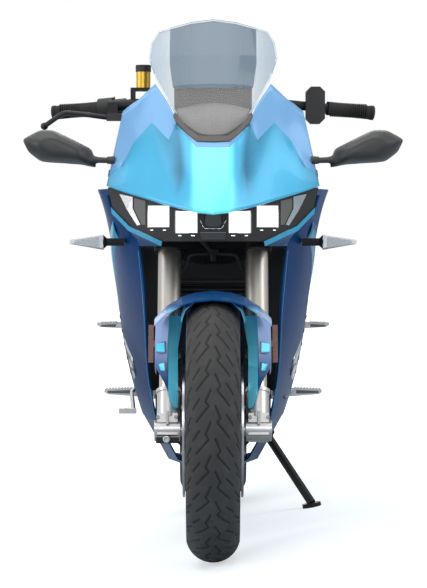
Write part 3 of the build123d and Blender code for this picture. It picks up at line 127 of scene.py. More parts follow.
class Net:
    """The node tree of one finish."""

    def __init__(self, name):
        self.material = bpy.data.materials.new(name)
        self.material.use_nodes = True
        self.tree = self.material.node_tree
        self.tree.nodes.clear()
        self.output = self.tree.nodes.new("ShaderNodeOutputMaterial")

    def node(self, kind, settings=None, inputs=None, out=0):
        """A node, its settings first and then its sockets' values or links."""
        node = self.tree.nodes.new(kind)
        for key, value in (settings or {}).items():
            setattr(node, key, value)
        for key, value in (inputs or {}).items():
            if isinstance(value, Value):
                self.tree.links.new(value.socket, node.inputs[key])
            else:
                node.inputs[key].default_value = value
        return Value(self, node.outputs[out])

    def place(self):
        """Object coordinates."""
        return self.node("ShaderNodeTexCoord", out=3)

    def bike(self):
        """Coordinates in the bike's upright frame."""
        return self.node("ShaderNodeMapping", {"vector_type": "POINT"}, {
            "Vector": self.place(), "Location": UPRIGHT.to_translation(),
            "Rotation": UPRIGHT.to_euler()})

    def parts(self, vector):
        """The x, y and z of a vector."""
        node = self.node("ShaderNodeSeparateXYZ", None, {0: vector}).socket.node
        return [Value(self, socket) for socket in node.outputs]

    def noise(self, scale, detail=3.0, roughness=0.5, vector=None):
        return self.node("ShaderNodeTexNoise", None, {
            "Vector": vector or self.place(), "Scale": scale, "Detail": detail,
            "Roughness": roughness})

    def cells(self, scale, feature="DISTANCE_TO_EDGE"):
        return self.node("ShaderNodeTexVoronoi", {"feature": feature}, {
            "Vector": self.place(), "Scale": scale})

    def flakes(self):
        """The fine flakes of pearl paint."""
        return self.noise(900.0, 1.0).smooth(0.35, 0.75)

    def attribute(self, name):
        return self.node("ShaderNodeAttribute", {"attribute_name": name}, out=2)

    def mix(self, mask, first, second):
        """A colour between two."""
        return self.node("ShaderNodeMix", {"data_type": "RGBA"}, {0: mask, 6: first, 7: second},
                         out=2)

    def bump(self, height, distance, strength):
        return self.node("ShaderNodeBump", None, {
            "Height": height, "Distance": distance, "Strength": strength})

    def surface(self, **sockets):
        """The shader, with its sockets by name; underscores stand for spaces."""
        shader = self.node("ShaderNodeBsdfPrincipled", None, {
            key.replace("_", " "): value for key, value in sockets.items()})
        self.tree.links.new(shader.socket, self.output.inputs[0])
        return self.material

    def pearl(self, colour, flake, share, ripple, **sockets):
        """Paint with flakes of one colour, a fine ripple and a clear coat."""
        return self.surface(
            Base_Color=self.mix(self.flakes() * share, colour, flake), Metallic=0.15,
            Coat_Roughness=0.05, Normal=self.bump(self.noise(420.0, 1.0), 0.00004, ripple),
            **sockets)


# ------------------------------------------------------------ finishes
WHITE = (1.0, 1.0, 1.0, 1.0)
SIDE_SHEEN = (0.14, 0.32, 0.62, 1.0)
LENS_SKIN = (0.83, 0.85, 0.87, 1.0)
PALE_FLAKE = srgb(235, 250, 255)
BLUE_FLAKE = srgb(30, 120, 190)
FINE_LINES = (14.0, 14.0, 900.0)
FINISHES = {}


def style(name):
    """A colour of the panel's settings."""
    return (*getattr(bpy.context.scene.bike_dressing, name), 1)


def toned(colour, gain, rise=0.0):
    """A lighter or darker colour."""
    return tuple(min(1.0, c * gain + rise) for c in colour[:3]) + (1.0,)


def painted(net, deep, light, coat=0.35, sheen=WHITE, flake=PALE_FLAKE):
    """Pearl paint with a slow random drift of tone, and painted light that makes it lighter
    towards the top.
    """
    z = net.parts(net.bike())[2]
    drift = net.noise(2.6, 1.0).smooth(0.25, 0.75)
    # The drift is random tone; the share that follows height is painted light, lighter towards
    # the top.
    tone_and_painted_light = drift * 0.35 + z.smooth(0.35, 1.05) * 0.5
    scuff = net.noise(34.0, 4.0).smooth(0.5, 0.9)
    return net.pearl(net.mix(tone_and_painted_light, style(deep), style(light)), flake, 0.10, 0.35,
                     Roughness=0.36 + scuff * 0.05, Specular_IOR_Level=0.12,
                     Specular_Tint=sheen, Coat_Weight=coat, Coat_IOR=1.2)


def cowl_paint(net):
    """Pearl paint with painted light that follows the piece's own facets: painted shade in the
    valleys, a painted highlight on the middle facet and a painted pearl sheen on the brow.
    """
    tone_and_painted_light = net.attribute("tone_and_painted_light")
    # From the painted shade of the side valleys through the plain paint to the painted highlight
    # of the middle facet.
    colour = net.mix(tone_and_painted_light.smooth(0.0, 0.5), style("paint_shade"), style("paint"))
    colour = net.mix(tone_and_painted_light.smooth(0.5, 1.0), colour, style("paint_highlight"))
    # The brow's lavender is a painted pearl sheen on its upward faces.
    colour = net.mix(net.attribute("brow"), colour, style("paint_brow"))
    return net.pearl(colour, PALE_FLAKE, 0.08, 0.3, Roughness=0.34, Specular_IOR_Level=0.25,
                     Coat_Weight=0.5, Coat_IOR=1.3)


def fender_paint(net):
    """Blue paint, lighter towards the top as painted light, with a painted pearl sheen in
    lavender on the arms and a painted cyan highlight on their inner chamfer.
    """
    x, y, z = net.parts(net.bike())
    low = 1 - z.smooth(0.562, 0.585)
    side = x.math("ABSOLUTE")
    inner = low * (1 - side.smooth(0.1005, 0.1030)) * (1 - y.smooth(-0.62, -0.60))
    # Painted light: darker low on the arms, lighter towards the top.
    colour = net.mix(z.smooth(0.30, 0.56), style("body_deep"), style("body_light"))
    # The lavender band on the arms is a painted pearl sheen.
    colour = net.mix(low * z.smooth(0.40, 0.52) * 0.9, colour, srgb(168, 190, 232))
    # Bright cyan on the inner chamfer is a painted highlight over its shade.
    colour = net.mix(inner, colour, srgb(112, 226, 255))
    return net.pearl(colour, BLUE_FLAKE, 0.08, 0.3, Roughness=0.36, Specular_IOR_Level=0.2,
                     Specular_Tint=SIDE_SHEEN, Coat_Weight=0.12, Coat_IOR=1.3)


def bright_paint(net, colour, rough=0.3):
    """Plain bright paint of small trim."""
    flakes = net.flakes()
    return net.surface(Base_Color=net.mix(flakes * 0.1, colour, PALE_FLAKE), Metallic=0.15,
                       Roughness=rough + flakes * 0.05, Coat_Weight=0.5,
                       Specular_IOR_Level=0.3, Coat_Roughness=0.05)


def moulded(net, colour, rough=0.55):
    """Moulded plastic with a fine leather-like grain and dusty highs."""
    cloud = net.noise(9.0, 3.0).smooth(0.3, 0.8)
    return net.surface(Base_Color=net.mix(cloud * 0.5, colour, toned(colour, 1.7, 0.01)),
                       Roughness=rough + cloud * 0.12,
                       Normal=net.bump(net.cells(700.0, "F1"), 0.00012, 0.5))


def cast(net, colour, rough=0.42, metal=1.0, wear=0.25):
    """Cast or powder coated metal: a sandy skin and a few rubbed places."""
    sand = net.noise(1100.0, 2.0)
    rubbed = net.noise(60.0, 5.0, 0.65).smooth(0.56, 0.74)
    return net.surface(Base_Color=net.mix(rubbed * wear, colour, toned(colour, 1.5, 0.02)),
                       Metallic=metal, Roughness=rough + rubbed * 0.1 - sand * 0.06,
                       Normal=net.bump(sand, 0.00010, 0.4))


def turned(net, colour, rough):
    """Drawn or turned metal, with fine lines along the fork."""
    vector = net.node("ShaderNodeMapping", {"vector_type": "POINT"}, {
        "Vector": net.bike(), "Rotation": (RAKE, 0, 0), "Scale": FINE_LINES})
    lines = net.noise(1.0, 3.0, 0.6, vector)
    stain = net.noise(24.0, 4.0).smooth(0.55, 0.8)
    return net.surface(
        Base_Color=net.mix(lines * 0.35 + stain * 0.2, colour, toned(colour, 0.72)),
        Metallic=1.0, Roughness=rough + lines * 0.14, Normal=net.bump(lines, 0.00003, 0.5))


def rubbered(net, colour, rough=0.75):
    """Soft rubber with a dull bloom."""
    grain = net.noise(900.0, 3.0)
    bloom = net.noise(14.0, 4.0).smooth(0.45, 0.8)
    return net.surface(Base_Color=net.mix(bloom * 0.5, colour, toned(colour, 1.8, 0.012)),
                       Roughness=rough + grain * 0.12, Normal=net.bump(grain, 0.00015, 0.5))


def tyre_rubber(net):
    """Tread rubber: the grooves are painted darker as painted shade, and the shoulders are dusty.
    """
    groove = net.attribute("groove")
    grain = net.noise(1300.0, 3.0)
    dust = net.noise(30.0, 4.0).smooth(0.4, 0.8)
    worn = net.mix(dust * 0.5, srgb(40, 40, 41), srgb(64, 63, 62))
    # The grooves' near-black is painted shade in the recesses.
    return net.surface(Base_Color=net.mix(groove, worn, srgb(6, 6, 6)),
                       Roughness=0.62 + grain * 0.18 + groove * 0.12,
                       Normal=net.bump(grain, 0.00016, 0.55))


def seat_vinyl(net):
    """Grained vinyl with a slight sheen."""
    wear = net.noise(12.0, 3.0).smooth(0.45, 0.8)
    return net.surface(Base_Color=net.mix(wear * 0.5, srgb(34, 34, 36), srgb(52, 52, 55)),
                       Roughness=0.6 - wear * 0.12, Sheen_Weight=0.15,
                       Normal=net.bump(net.cells(420.0).smooth(0.0, 0.12), 0.0003, 0.6))


def disc_steel(net):
    """Ground steel with fine rings round the axle."""
    _, y, z = net.parts(net.bike())
    dy, dz = y + WHEELBASE / 2, z - FRONT_R
    rings = ((dy * dy + dz * dz).math("SQRT") * 5200.0).math("SINE") * 0.5 + 0.5
    swirl = net.noise(90.0, 3.0)
    colour = net.mix(rings * 0.3 + swirl * 0.25, srgb(178, 180, 184), srgb(128, 128, 134))
    return net.surface(Base_Color=colour, Metallic=1.0, Roughness=0.24 + rings * 0.14)


def screen_glass(net):
    """Tinted acrylic: a denser middle facet between two pale side facets."""
    x, _, z = net.parts(net.bike())
    side = x.math("ABSOLUTE")
    # The middle facet's half width grows with height.
    half = (z - 1.011).math("MAXIMUM", 0.0).math("MINIMUM", 0.13) * 0.14 + 0.083
    middle = (half - side).smooth(-0.0012, 0.0012)
    wipe = net.noise(18.0, 3.0).smooth(0.5, 0.8)
    upper = z.smooth(1.079, 1.085)
    tint = net.mix(side.smooth(0.02, 0.10), style("screen_tint"), srgb(84, 112, 132))
    tint = net.mix(upper, srgb(150, 148, 147), tint)
    tint = net.mix(middle, srgb(158, 180, 196), tint)
    dense = upper * 0.40 + 0.28
    pale = side.smooth(0.09, 0.15) * 0.2 + 0.34
    return net.surface(
        Base_Color=tint, Alpha=middle * dense + (1 - middle) * pale + wipe * 0.02,
        Roughness=0.08, Specular_IOR_Level=0.3, Coat_Weight=0.4, Coat_Roughness=0.03,
        Coat_IOR=1.3)


def radiator_core(net):
    """Fins of a cooler between flat tubes."""
    x, _, z = net.parts(net.bike())
    tubes = (z * 620.0).math("SINE").smooth(0.55, 0.8)
    fins = (x * 3600.0).math("SINE") * 0.5 + 0.5
    return net.surface(
        Base_Color=net.mix(tubes, srgb(22, 22, 23), srgb(52, 52, 54)), Metallic=0.4,
        Roughness=0.55 + fins * 0.2, Normal=net.bump(fins * (1 - tubes) + tubes, 0.0012, 0.8))


def reflector(net):
    """Dull red lens with a fine prism grid."""
    edge = net.cells(380.0).smooth(0.0, 0.12)
    return net.surface(Base_Color=net.mix(edge, srgb(74, 40, 36), srgb(128, 84, 76)),
                       Roughness=0.25 + edge * 0.1, Coat_Weight=0.6,
                       Normal=net.bump(edge, 0.0003, 0.5))


def mirror_glass(net):
    """Silvered glass with a faint haze."""
    haze = net.noise(16.0, 3.0).smooth(0.4, 0.8)
    return net.surface(Base_Color=net.mix(haze * 0.4, srgb(206, 212, 218), srgb(188, 194, 200)),
                       Metallic=1.0, Roughness=0.03 + haze * 0.03)


def polished_edge(net):
    """The bright ground edge of the screen."""
    return net.surface(Base_Color=srgb(232, 240, 245), Alpha=0.75 + net.noise(60.0, 2.0) * 0.1,
                       Roughness=0.12, Coat_Weight=0.5)


def gloss_black(net):
    """Polished black moulding with faint swirls."""
    swirl = net.noise(90.0, 3.0)
    return net.surface(Base_Color=net.mix(swirl * 0.5, srgb(10, 11, 13), srgb(20, 22, 26)),
                       Roughness=0.1 + swirl * 0.05, Coat_Weight=0.8, Coat_Roughness=0.03)


def clear_lens(net):
    """Clear plastic with faint ribs."""
    return net.surface(Base_Color=srgb(225, 230, 234), Alpha=0.45 + net.noise(260.0, 1.0) * 0.1,
                       Roughness=0.06, Coat_Weight=1.0, Coat_Roughness=0.02)


def glowing(net, colour, strength, skin=LENS_SKIN):
    """A lit lens over a mottled reflector."""
    cells = net.noise(320.0, 1.0).smooth(0.2, 0.9)
    return net.surface(Base_Color=skin, Roughness=0.3, Emission_Strength=strength,
                       Emission_Color=net.mix(cells * 0.4, colour, toned(colour, 0.86)))


# name: the CAD nodes that wear it, its maker and what the maker takes
FINISH_TABLE = {
    # The lamp lips wear the cyan paint as a painted reflection along the lower edge of the lamp
    # unit.
    "Pearl cyan paint": ("nose_cowl tank_cover tail_cowl lamp_lips",
                         painted, "paint_shade", "paint"),
    "Deep blue paint": ("fairing_left fairing_right belly_pan nose_cheeks",
                        painted, "body_deep", "body_light", 0.04, SIDE_SHEEN, BLUE_FLAKE),
    "Fender paint": ("front_fender", fender_paint),
    "Nose paint": ("", cowl_paint),
    # A painted highlight on the side panels' inner front edges.
    "Edge highlight paint": ("", bright_paint, srgb(44, 122, 170)),
    # Dark plates round the fender slots: painted shade of a recess.
    "Slot shade": ("", bright_paint, srgb(10, 58, 92), 0.4),
    "Slot paint": ("", bright_paint, srgb(64, 214, 246)),
    "Spring paint": ("", bright_paint, srgb(60, 160, 205), 0.35),
    "Black moulding": ("headlamp_unit switch_box_left throttle_housing reservoir_lid "
                       "front_calipers power_block rear_hugger rear_caliper",
                       moulded, srgb(20, 20, 21)),
    "Dash moulding": ("dash", moulded, srgb(58, 57, 57), 0.5),
    "Dash cover": ("", moulded, srgb(186, 184, 182), 0.5),
    "Dash visor": ("", moulded, srgb(104, 98, 95), 0.5),
    "Bezel moulding": ("", moulded, srgb(70, 66, 64), 0.45),
    "Mirror moulding": ("mirrors", moulded, srgb(30, 31, 32), 0.42),
    "Lamp grey": ("", moulded, srgb(88, 87, 84), 0.4),
    "Radiator": ("radiator", radiator_core),
    "Hose rubber": ("brake_hoses", rubbered, srgb(14, 14, 14), 0.6),
    "Stalk rubber": ("indicator_stalks grips", rubbered, srgb(20, 20, 20)),
    "Tyre rubber": ("front_tyre rear_tyre", tyre_rubber),
    "Grained vinyl": ("rider_seat pillion_seat", seat_vinyl),
    "Lamp light": ("headlamp_lenses", glowing, WHITE, 1.6),
    "Red lens": ("tail_lamp", glowing, srgb(200, 18, 12), 0.25, srgb(120, 8, 6)),
    "Red reflector": ("fork_reflectors", reflector),
    "Clear lens": ("indicator_lenses", clear_lens),
    "Tinted screen": ("windscreen", screen_glass),
    "Polished edge": ("", polished_edge),
    "Mirror glass": ("mirror_glasses", mirror_glass),
    "Gloss black": ("", gloss_black),
    "Dark frame coat": ("main_frame subframe nose_stay fork_yokes handlebar brake_pump "
                        "side_stand", cast, srgb(30, 30, 32), 0.5, 0.6),
    "Black wheel coat": ("front_rim rear_rim", cast, srgb(14, 14, 15), 0.4, 0.4, 0.1),
    "Cast alloy": ("fork_feet swingarm rider_pegs pillion_pegs brake_pedal",
                   cast, srgb(186, 186, 186), 0.36),
    "Dark lever": ("brake_lever", cast, srgb(46, 46, 48), 0.4, 0.8),
    "Plain steel": ("rear_disc drive_chain rear_sprocket front_sprocket front_axle rear_axle "
                    "rear_shock", cast, srgb(150, 151, 154), 0.3),
    "Lamp silver": ("", cast, srgb(176, 178, 180), 0.22, 0.9, 0.1),
    "Bolt steel": ("", cast, srgb(150, 152, 156), 0.3, 1.0, 0.2),
    "Band grey": ("", cast, srgb(96, 97, 99), 0.45),
    "Chain steel": ("", cast, srgb(120, 118, 112), 0.38, 1.0, 0.4),
    "Ground steel": ("front_discs", disc_steel),
    "Fork leg metal": ("fork_outers", turned, srgb(176, 172, 166), 0.3),
    "Fork tube chrome": ("fork_inners", turned, srgb(196, 192, 184), 0.16),
    "Gold anodised": ("brake_reservoir", turned, srgb(206, 166, 72), 0.3),
}


# ------------------------------------------------------------ mesh helpers
def new_piece(name, mesh, finish, body="chassis", smooth=True):
    """Turns an upright bmesh into a piece that rides on a CAD body."""
    mesh.transform(PARKED)
    data = bpy.data.meshes.new(name)
    mesh.to_mesh(data)
    mesh.free()
    if smooth:
        data.shade_smooth()
    thing = linked(name, data)
    data.materials.append(FINISHES[finish])
    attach(thing, body)
    return thing


def linked(name, data):
    """An object in the scene."""
    thing = bpy.data.objects.new(name, data)
    bpy.context.scene.collection.objects.link(thing)
    return thing


def soften(thing, width):
    """A live bevel on the sharp edges of a piece."""
    bevel = thing.modifiers.new("soft edges", "BEVEL")
    bevel.width = width
    bevel.segments = 2
    bevel.limit_method = "ANGLE"
    bevel.angle_limit = math.radians(35.0)
    bevel.harden_normals = False


def walled(thing, thickness):
    """A live wall thickness."""
    wall = thing.modifiers.new("wall", "SOLIDIFY")
    wall.thickness = thickness
    wall.offset = -1.0
    wall.edge_crease_rim = 1.0
    wall.edge_crease_inner = wall.edge_crease_outer = 0.0
    return wall


def rounded(thing, levels):
    """A live subdivision surface."""
    smooth = thing.modifiers.new("rounding", "SUBSURF")
    smooth.levels = smooth.render_levels = levels
    smooth.boundary_smooth = "PRESERVE_CORNERS"
    return thing


def add_cube(mesh, centre, size, turn=None):
    """A block into a bmesh."""
    place = Matrix.Translation(centre)
    if turn is not None:
        place = place @ turn
    bmesh.ops.create_cube(mesh, size=1.0, matrix=place @ Matrix.Diagonal((*size, 1)))


def upright_on(run):
    """The turn that stands +Z along a run."""
    return run.to_track_quat("Z", "Y").to_matrix().to_4x4()


def add_rod(mesh, start, end, radius, radius_end=None, sides=24):
    """A round bar or cone between two points, and its vertices."""
    start, end = Vector(start), Vector(end)
    run = end - start
    return bmesh.ops.create_cone(
        mesh, cap_ends=True, segments=sides, radius1=radius,
        radius2=radius if radius_end is None else radius_end, depth=run.length,
        matrix=Matrix.Translation((start + end) / 2) @ upright_on(run))["verts"]


def moved_face(mesh, face, vec):
    """Extrudes a face along a vector; returns the new vertices."""
    made = bmesh.ops.extrude_face_region(mesh, geom=[face])["geom"]
    verts = [item for item in made if isinstance(item, bmesh.types.BMVert)]
    bmesh.ops.translate(mesh, verts=verts, vec=vec)
    return verts


def sheet_from(mesh, columns):
    """A grid whose points are moved onto columns of points; returns its vertices."""
    tall = len(columns[0])
    made = bmesh.ops.create_grid(mesh, x_segments=tall - 1, y_segments=len(columns) - 1,
                                 size=0.5)["verts"]
    for index, vert in enumerate(made):
        vert.co = Vector(columns[index // tall][index % tall])
    return made


def face_towards(mesh, faces, way):
    """Turns faces so that together they look along a direction."""
    total = Vector()
    for face in faces:
        face.normal_update()
        total += face.normal * face.calc_area()
    if total.dot(Vector(way)) < 0:
        bmesh.ops.reverse_faces(mesh, faces=faces)


def look(mesh, way=None):
    """Turns each face of a thin sheet along a direction, or away from the middle."""
    for face in mesh.faces:
        face.normal_update()
        out = (face.calc_center_median().x, 0, 0)
        if face.normal.dot(Vector(way or out)) < 0:
            face.normal_flip()


def mirrored_x(mesh, middle=False):
    """Adds the other half across the bike's middle plane, welded there if asked."""
    geometry = list(mesh.verts) + list(mesh.edges) + list(mesh.faces)
    bmesh.ops.mirror(mesh, geom=geometry, axis="X",
                     merge_dist=0.00005 if middle else -1.0)


def close(mesh):
    """Turns the faces of closed forms outwards."""
    bmesh.ops.recalc_face_normals(mesh, faces=mesh.faces)


def softened(mesh):
    """One round of smoothing of every vertex."""
    bmesh.ops.smooth_vert(mesh, verts=mesh.verts, factor=0.5, use_axis_x=True,
                          use_axis_y=True, use_axis_z=True)


def plate(mesh, points, y_front, depth):
    """A flat plate from front points (x, z) in mm, brought forward by its depth."""
    verts = [mesh.verts.new((x / 1000, y_front(x / 1000, z / 1000), z / 1000))
             for x, z in points]
    face = mesh.faces.new(verts)
    face_towards(mesh, [face], FORWARD)
    return moved_face(mesh, face, (0, -depth, 0))


def add_bolt(mesh, place, way, radius):
    """A socket head: a chamfered button with a hollow top."""
    sides = 14
    way = Vector(way).normalized()
    place = Vector(place)
    verts = add_rod(mesh, place - way * radius * 0.5, place + way * radius * 0.8, radius,
                    sides=sides)
    caps = [face for face in {f for v in verts for f in v.link_faces}
            if len(face.verts) == sides]
    for face in caps:
        face.normal_update()
    top = max(caps, key=lambda face: face.calc_center_median().dot(way))
    bmesh.ops.inset_region(mesh, faces=[top], thickness=radius * 0.12, depth=radius * 0.12)
    bmesh.ops.inset_region(mesh, faces=[top], thickness=radius * 0.36, depth=0.0)
    moved_face(mesh, top, -way * radius * 0.55)
    if top.is_valid:
        bmesh.ops.delete(mesh, geom=[top], context="FACES_ONLY")


def sheet_piece(name, columns, finish, way=FORWARD, middle=False, smooth=True):
    """A thin sheet through columns of points and its mirror image."""
    mesh = bmesh.new()
    sheet_from(mesh, columns)
    mirrored_x(mesh, middle)
    look(mesh, way)
    return new_piece(name, mesh, finish, smooth=smooth)


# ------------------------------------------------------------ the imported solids
SURFACES = {}


def upright_points(node):
    """The points of a CAD node in the upright frame."""
    return [UPRIGHT @ v.co for v in frame["nodes"][node].data.vertices]


def surface_of(node):
    """The CAD node's surface in the upright frame, for rays."""
    if node not in SURFACES:
        faces = [tuple(p.vertices) for p in frame["nodes"][node].data.polygons]
        SURFACES[node] = BVHTree.FromPolygons(upright_points(node), faces)
    return SURFACES[node]


def hit_on(node, start, way):
    """Where a ray meets a node and the surface's way there, or None twice."""
    return surface_of(node).ray_cast(Vector(start), Vector(way))[:2]


def touch(node, start, way=INWARD):
    """Where a ray meets a node that it has to meet."""
    place = hit_on(node, start, way)[0]
    if place is None:
        raise RuntimeError(f"no {node} at {start}")
    return place


def front_of(node, x, z, fallback=-0.6):
    """The foremost y of a node at x and z."""
    place = hit_on(node, (x, -2.0, z), AFT)[0]
    if place is None:
        place = surface_of(node).find_nearest(Vector((x, fallback, z)))[0]
    return place.y


def edge_of(node, x, z, step_x, step_z):
    """The y of a point on a node's outline, carried on from just inside it."""
    near = front_of(node, x + step_x, z + step_z)
    return 2 * near - front_of(node, x + 2 * step_x, z + 2 * step_z)


def merged_copy(node):
    """A CAD node's mesh in the upright frame, with its doubled points merged."""
    mesh = bmesh.new()
    mesh.from_mesh(frame["nodes"][node].data)
    mesh.transform(UPRIGHT)
    bmesh.ops.remove_doubles(mesh, verts=mesh.verts, dist=0.00002)
    return mesh


def voxels_of(mesh, name, size):
    """The mesh data of a bmesh remade from voxels."""
    data = bpy.data.meshes.new(name + " start")
    mesh.to_mesh(data)
    mesh.free()
    work = linked(name + " start", data)
    grid = work.modifiers.new("grid", "REMESH")
    grid.mode, grid.voxel_size = "VOXEL", size
    data = bpy.data.meshes.new_from_object(
        work.evaluated_get(bpy.context.evaluated_depsgraph_get()))
    bpy.data.objects.remove(work)
    return data


def melted_copy(node, name, finish, voxel, rounds):
    """A solid node's shape with every edge worn round; it replaces the node."""
    data = voxels_of(merged_copy(node), name, voxel)
    mesh = bmesh.new()
    mesh.from_mesh(data)
    for _ in range(rounds):
        softened(mesh)
    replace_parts(new_piece(name, mesh, finish), node)


def inner_copy(node, name, finish, share):
    """A smaller copy of each solid of a node, inside it."""
    mesh = merged_copy(node)
    left = set(mesh.verts)
    while left:
        island, reach = set(), [left.pop()]
        while reach:
            vert = reach.pop()
            island.add(vert)
            for edge in vert.link_edges:
                other = edge.other_vert(vert)
                if other in left:
                    left.discard(other)
                    reach.append(other)
        middle = sum((v.co for v in island), Vector()) / len(island)
        for vert in island:
            vert.co = middle + (vert.co - middle) * share
    new_piece(name, mesh, finish, smooth=False)


# ------------------------------------------------------------ settings
def colour(label, meaning, *rgb):
    """A colour of the panel, from 0 to 255 steps."""
    return FloatVectorProperty(name=label, description=meaning, subtype="COLOR", size=3,
                               default=srgb(*rgb)[:3])


class BikeDressing(bpy.types.PropertyGroup):
    """Sizes and colours of the dressed bike."""

    # Paint shade is the painted shade of the nose's valleys and the darker end of the painted
    # light on the cyan parts; the middle facet's colour is a painted highlight and the brow's a
    # painted pearl sheen; body deep and body light are the lower and upper ends of the painted
    # light on the blue parts, mixed with random drift.
    paint: colour("Paint", "Main pearl paint", 62, 178, 222)
    paint_shade: colour("Paint shade", "Paint in the valleys", 16, 108, 142)
    paint_highlight: colour("Paint bright", "Paint on the middle facet", 118, 250, 255)
    paint_brow: colour("Paint brow", "Paint on the upper brow", 110, 164, 212)
    body_deep: colour("Body deep", "Dark blue of the side panels", 6, 38, 80)
    body_light: colour("Body light", "Lighter blue of the panels", 14, 72, 128)
    screen_tint: colour("Screen tint", "Tint of the windscreen", 104, 128, 145)
    tread_depth: FloatProperty(name="Tread depth", description="Depth of the tread grooves",
                               default=0.0030, unit="LENGTH")
    tread_repeats: IntProperty(name="Tread repeats", description="Groove groups round a tyre",
                               default=26)
    light_level: FloatProperty(name="Light level", description="Share of the studio's light",
                               default=1.0)


class BIKE_OT_finishes(bpy.types.Operator):
    """Makes every finish and gives each CAD node its own"""
    bl_idname = "bike.finishes"
    bl_label = "Finishes"

    def execute(self, context):
        for name, (nodes, make, *values) in FINISH_TABLE.items():
            FINISHES[name] = make(Net(name), *values)
            for node in nodes.split():
                thing = frame["nodes"][node]
                if not thing.material_slots:
                    thing.data.materials.append(FINISHES[name])
                for place in thing.material_slots:
                    place.material = FINISHES[name]
        return {"FINISHED"}


# ------------------------------------------------------------ tyres
# Strokes of one groove group, as the distance from the tyre's middle and the
# distance along it at both ends, in mm.
STROKES = ((5, 0, 16, 27), (16, 27, 9, 37), (9, 37, 38, 71), (30, 19, 48, 42),
           (54, 60, 72, 88), (60, 14, 76, 34))
# Half width of a stroke, in mm.
STROKE_HALF = 2.5
# Rows across the crown, and steps around the tyre.
TREAD_ROWS, TREAD_STEPS = 76, 660


def groove_depth(along, across, pitch):
    """Depth share of the tread's lightning grooves at a place in mm."""
    side = abs(across)
    if across > 0:
        along += pitch / 2
    nearest = pitch
    for a0, t0, a1, t1 in STROKES:
        middle = (t0 + t1) / 2
        t = (along - middle + pitch / 2) % pitch - pitch / 2 + middle
        run_a, run_t = a1 - a0, t1 - t0
        share = ((side - a0) * run_a + (t - t0) * run_t) / (run_a ** 2 + run_t ** 2)
        share = max(0.0, min(1.0, share))
        nearest = min(nearest, math.hypot(side - a0 - share * run_a, t - t0 - share * run_t))
    return max(0.0, 1.0 - (nearest / STROKE_HALF) ** 2)


def tyre_section(radius, inset, width, crown_r, bead):
    """Points (x, radius, share of the tread) from bead to bead."""
    half = width / 2
    spread = math.asin(half / crown_r)
    crown = []
    for i in range(TREAD_ROWS + 1):
        share = 2 * i / TREAD_ROWS - 1
        a = spread * share
        crown.append((crown_r * math.sin(a), radius - inset - crown_r * (1 - math.cos(a)), share))
    shoulder = crown[-1][1]
    wall = [(half - 0.0004, shoulder - 0.008, 1.2), (half - 0.0022, shoulder - 0.018, 1.3),
            (bead + (half - bead) * 0.45, (shoulder + RIM_R) / 2 + 0.004, 1.5),
            (bead + 0.003, RIM_R + 0.009, 1.8), (bead, RIM_R + 0.0012, 2.0)]
    return [(-x, r, -share) for x, r, share in reversed(wall)] + crown + wall


def make_tyre(settings, end, radius, inset, width, crown_r, bead, axle_y):
    """A tyre spun from its section, with grooves pressed into the crown."""
    hub = Vector((0, axle_y, radius))
    pitch = 2000 * math.pi * radius / settings.tread_repeats
    spread = math.asin(width / 2 / crown_r)
    mesh = bmesh.new()
    share = mesh.verts.layers.float.new("across")
    previous, edges = None, []
    for x, r, s in tyre_section(radius, inset, width, crown_r, bead):
        vert = mesh.verts.new((x, axle_y, radius - r))
        vert[share] = s
        if previous:
            edges.append(mesh.edges.new((previous, vert)))
        previous = vert
    bmesh.ops.spin(mesh, geom=edges + list(mesh.verts), cent=hub, axis=(1, 0, 0),
                   dvec=(0, 0, 0), angle=2 * math.pi, steps=TREAD_STEPS, use_merge=True)
    mesh.faces.ensure_lookup_table()
    close(mesh)
    if mesh.faces[0].normal.dot(mesh.faces[0].calc_center_median() - hub) < 0:
        bmesh.ops.reverse_faces(mesh, faces=mesh.faces)
    groove = mesh.verts.layers.float.new("groove")
    for vert in mesh.verts:
        if abs(vert[share]) < 1.0:
            out = Vector((0, vert.co.y - axle_y, vert.co.z - radius))
            turns = math.atan2(out.y, -out.z) / (2 * math.pi)
            depth = groove_depth(turns * settings.tread_repeats * pitch,
                                 vert[share] * crown_r * spread * 1000, pitch)
            vert[groove] = depth
            vert.co -= out.normalized() * depth * settings.tread_depth
    mesh.verts.layers.float.remove(share)
    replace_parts(new_piece(end + "_tread", mesh, "Tyre rubber", end + "_wheel"),
                end + "_tyre")


class BIKE_OT_tyres(bpy.types.Operator):
    """Tyres with chevron tread"""
    bl_idname = "bike.tyres"
    bl_label = "Tyres"

    def execute(self, context):
        settings = context.scene.bike_dressing
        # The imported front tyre's facets lie 1.2 mm inside its circle.
        make_tyre(settings, "front", FRONT_R, 0.0012, 0.120, 0.062, 0.0407, -WHEELBASE / 2)
        make_tyre(settings, "rear", REAR_R, 0.0, 0.180, 0.095, 0.0657, WHEELBASE / 2)
        return {"FINISHED"}


# ------------------------------------------------------------ nose
# Half of the nose cowl from the middle outwards: for each column the points
# (x, z, recess) in mm at the screen's base, the brow line, the waist and the
# lower lip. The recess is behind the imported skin.
NOSE_COLUMNS = (
    ((0, 960, 0), (0, 940, 0), (0, 862, 7), (0, 788, 0)),
    ((32, 961, 0), (38, 941, 0), (38, 864, 7), (34, 792, 0)),
    ((60, 982, 0), (56, 962, 3), (52, 872, 8), (54, 797, 0)),
    ((86, 1010, 0), (84, 1000, 4), (68, 888, 15), (86, 804, 0)),
    ((100, 1040, 0), (102, 959, 0), (98, 880, 8), (118, 813, 0)),
    ((134, 1093, 0), (141, 1001, 0), (146, 890, 7), (157, 825, 0)),
    ((172, 1056, 0), (183, 955, 0), (184, 882, 7), (190, 835, 0)),
    ((190, 1044, 0), (208, 904, 0), (214, 872, 3), (221, 845, 0)),
    ((209, 1028, 0), (240, 882, 0), (243, 868, 0), (246, 855, 0)),
)
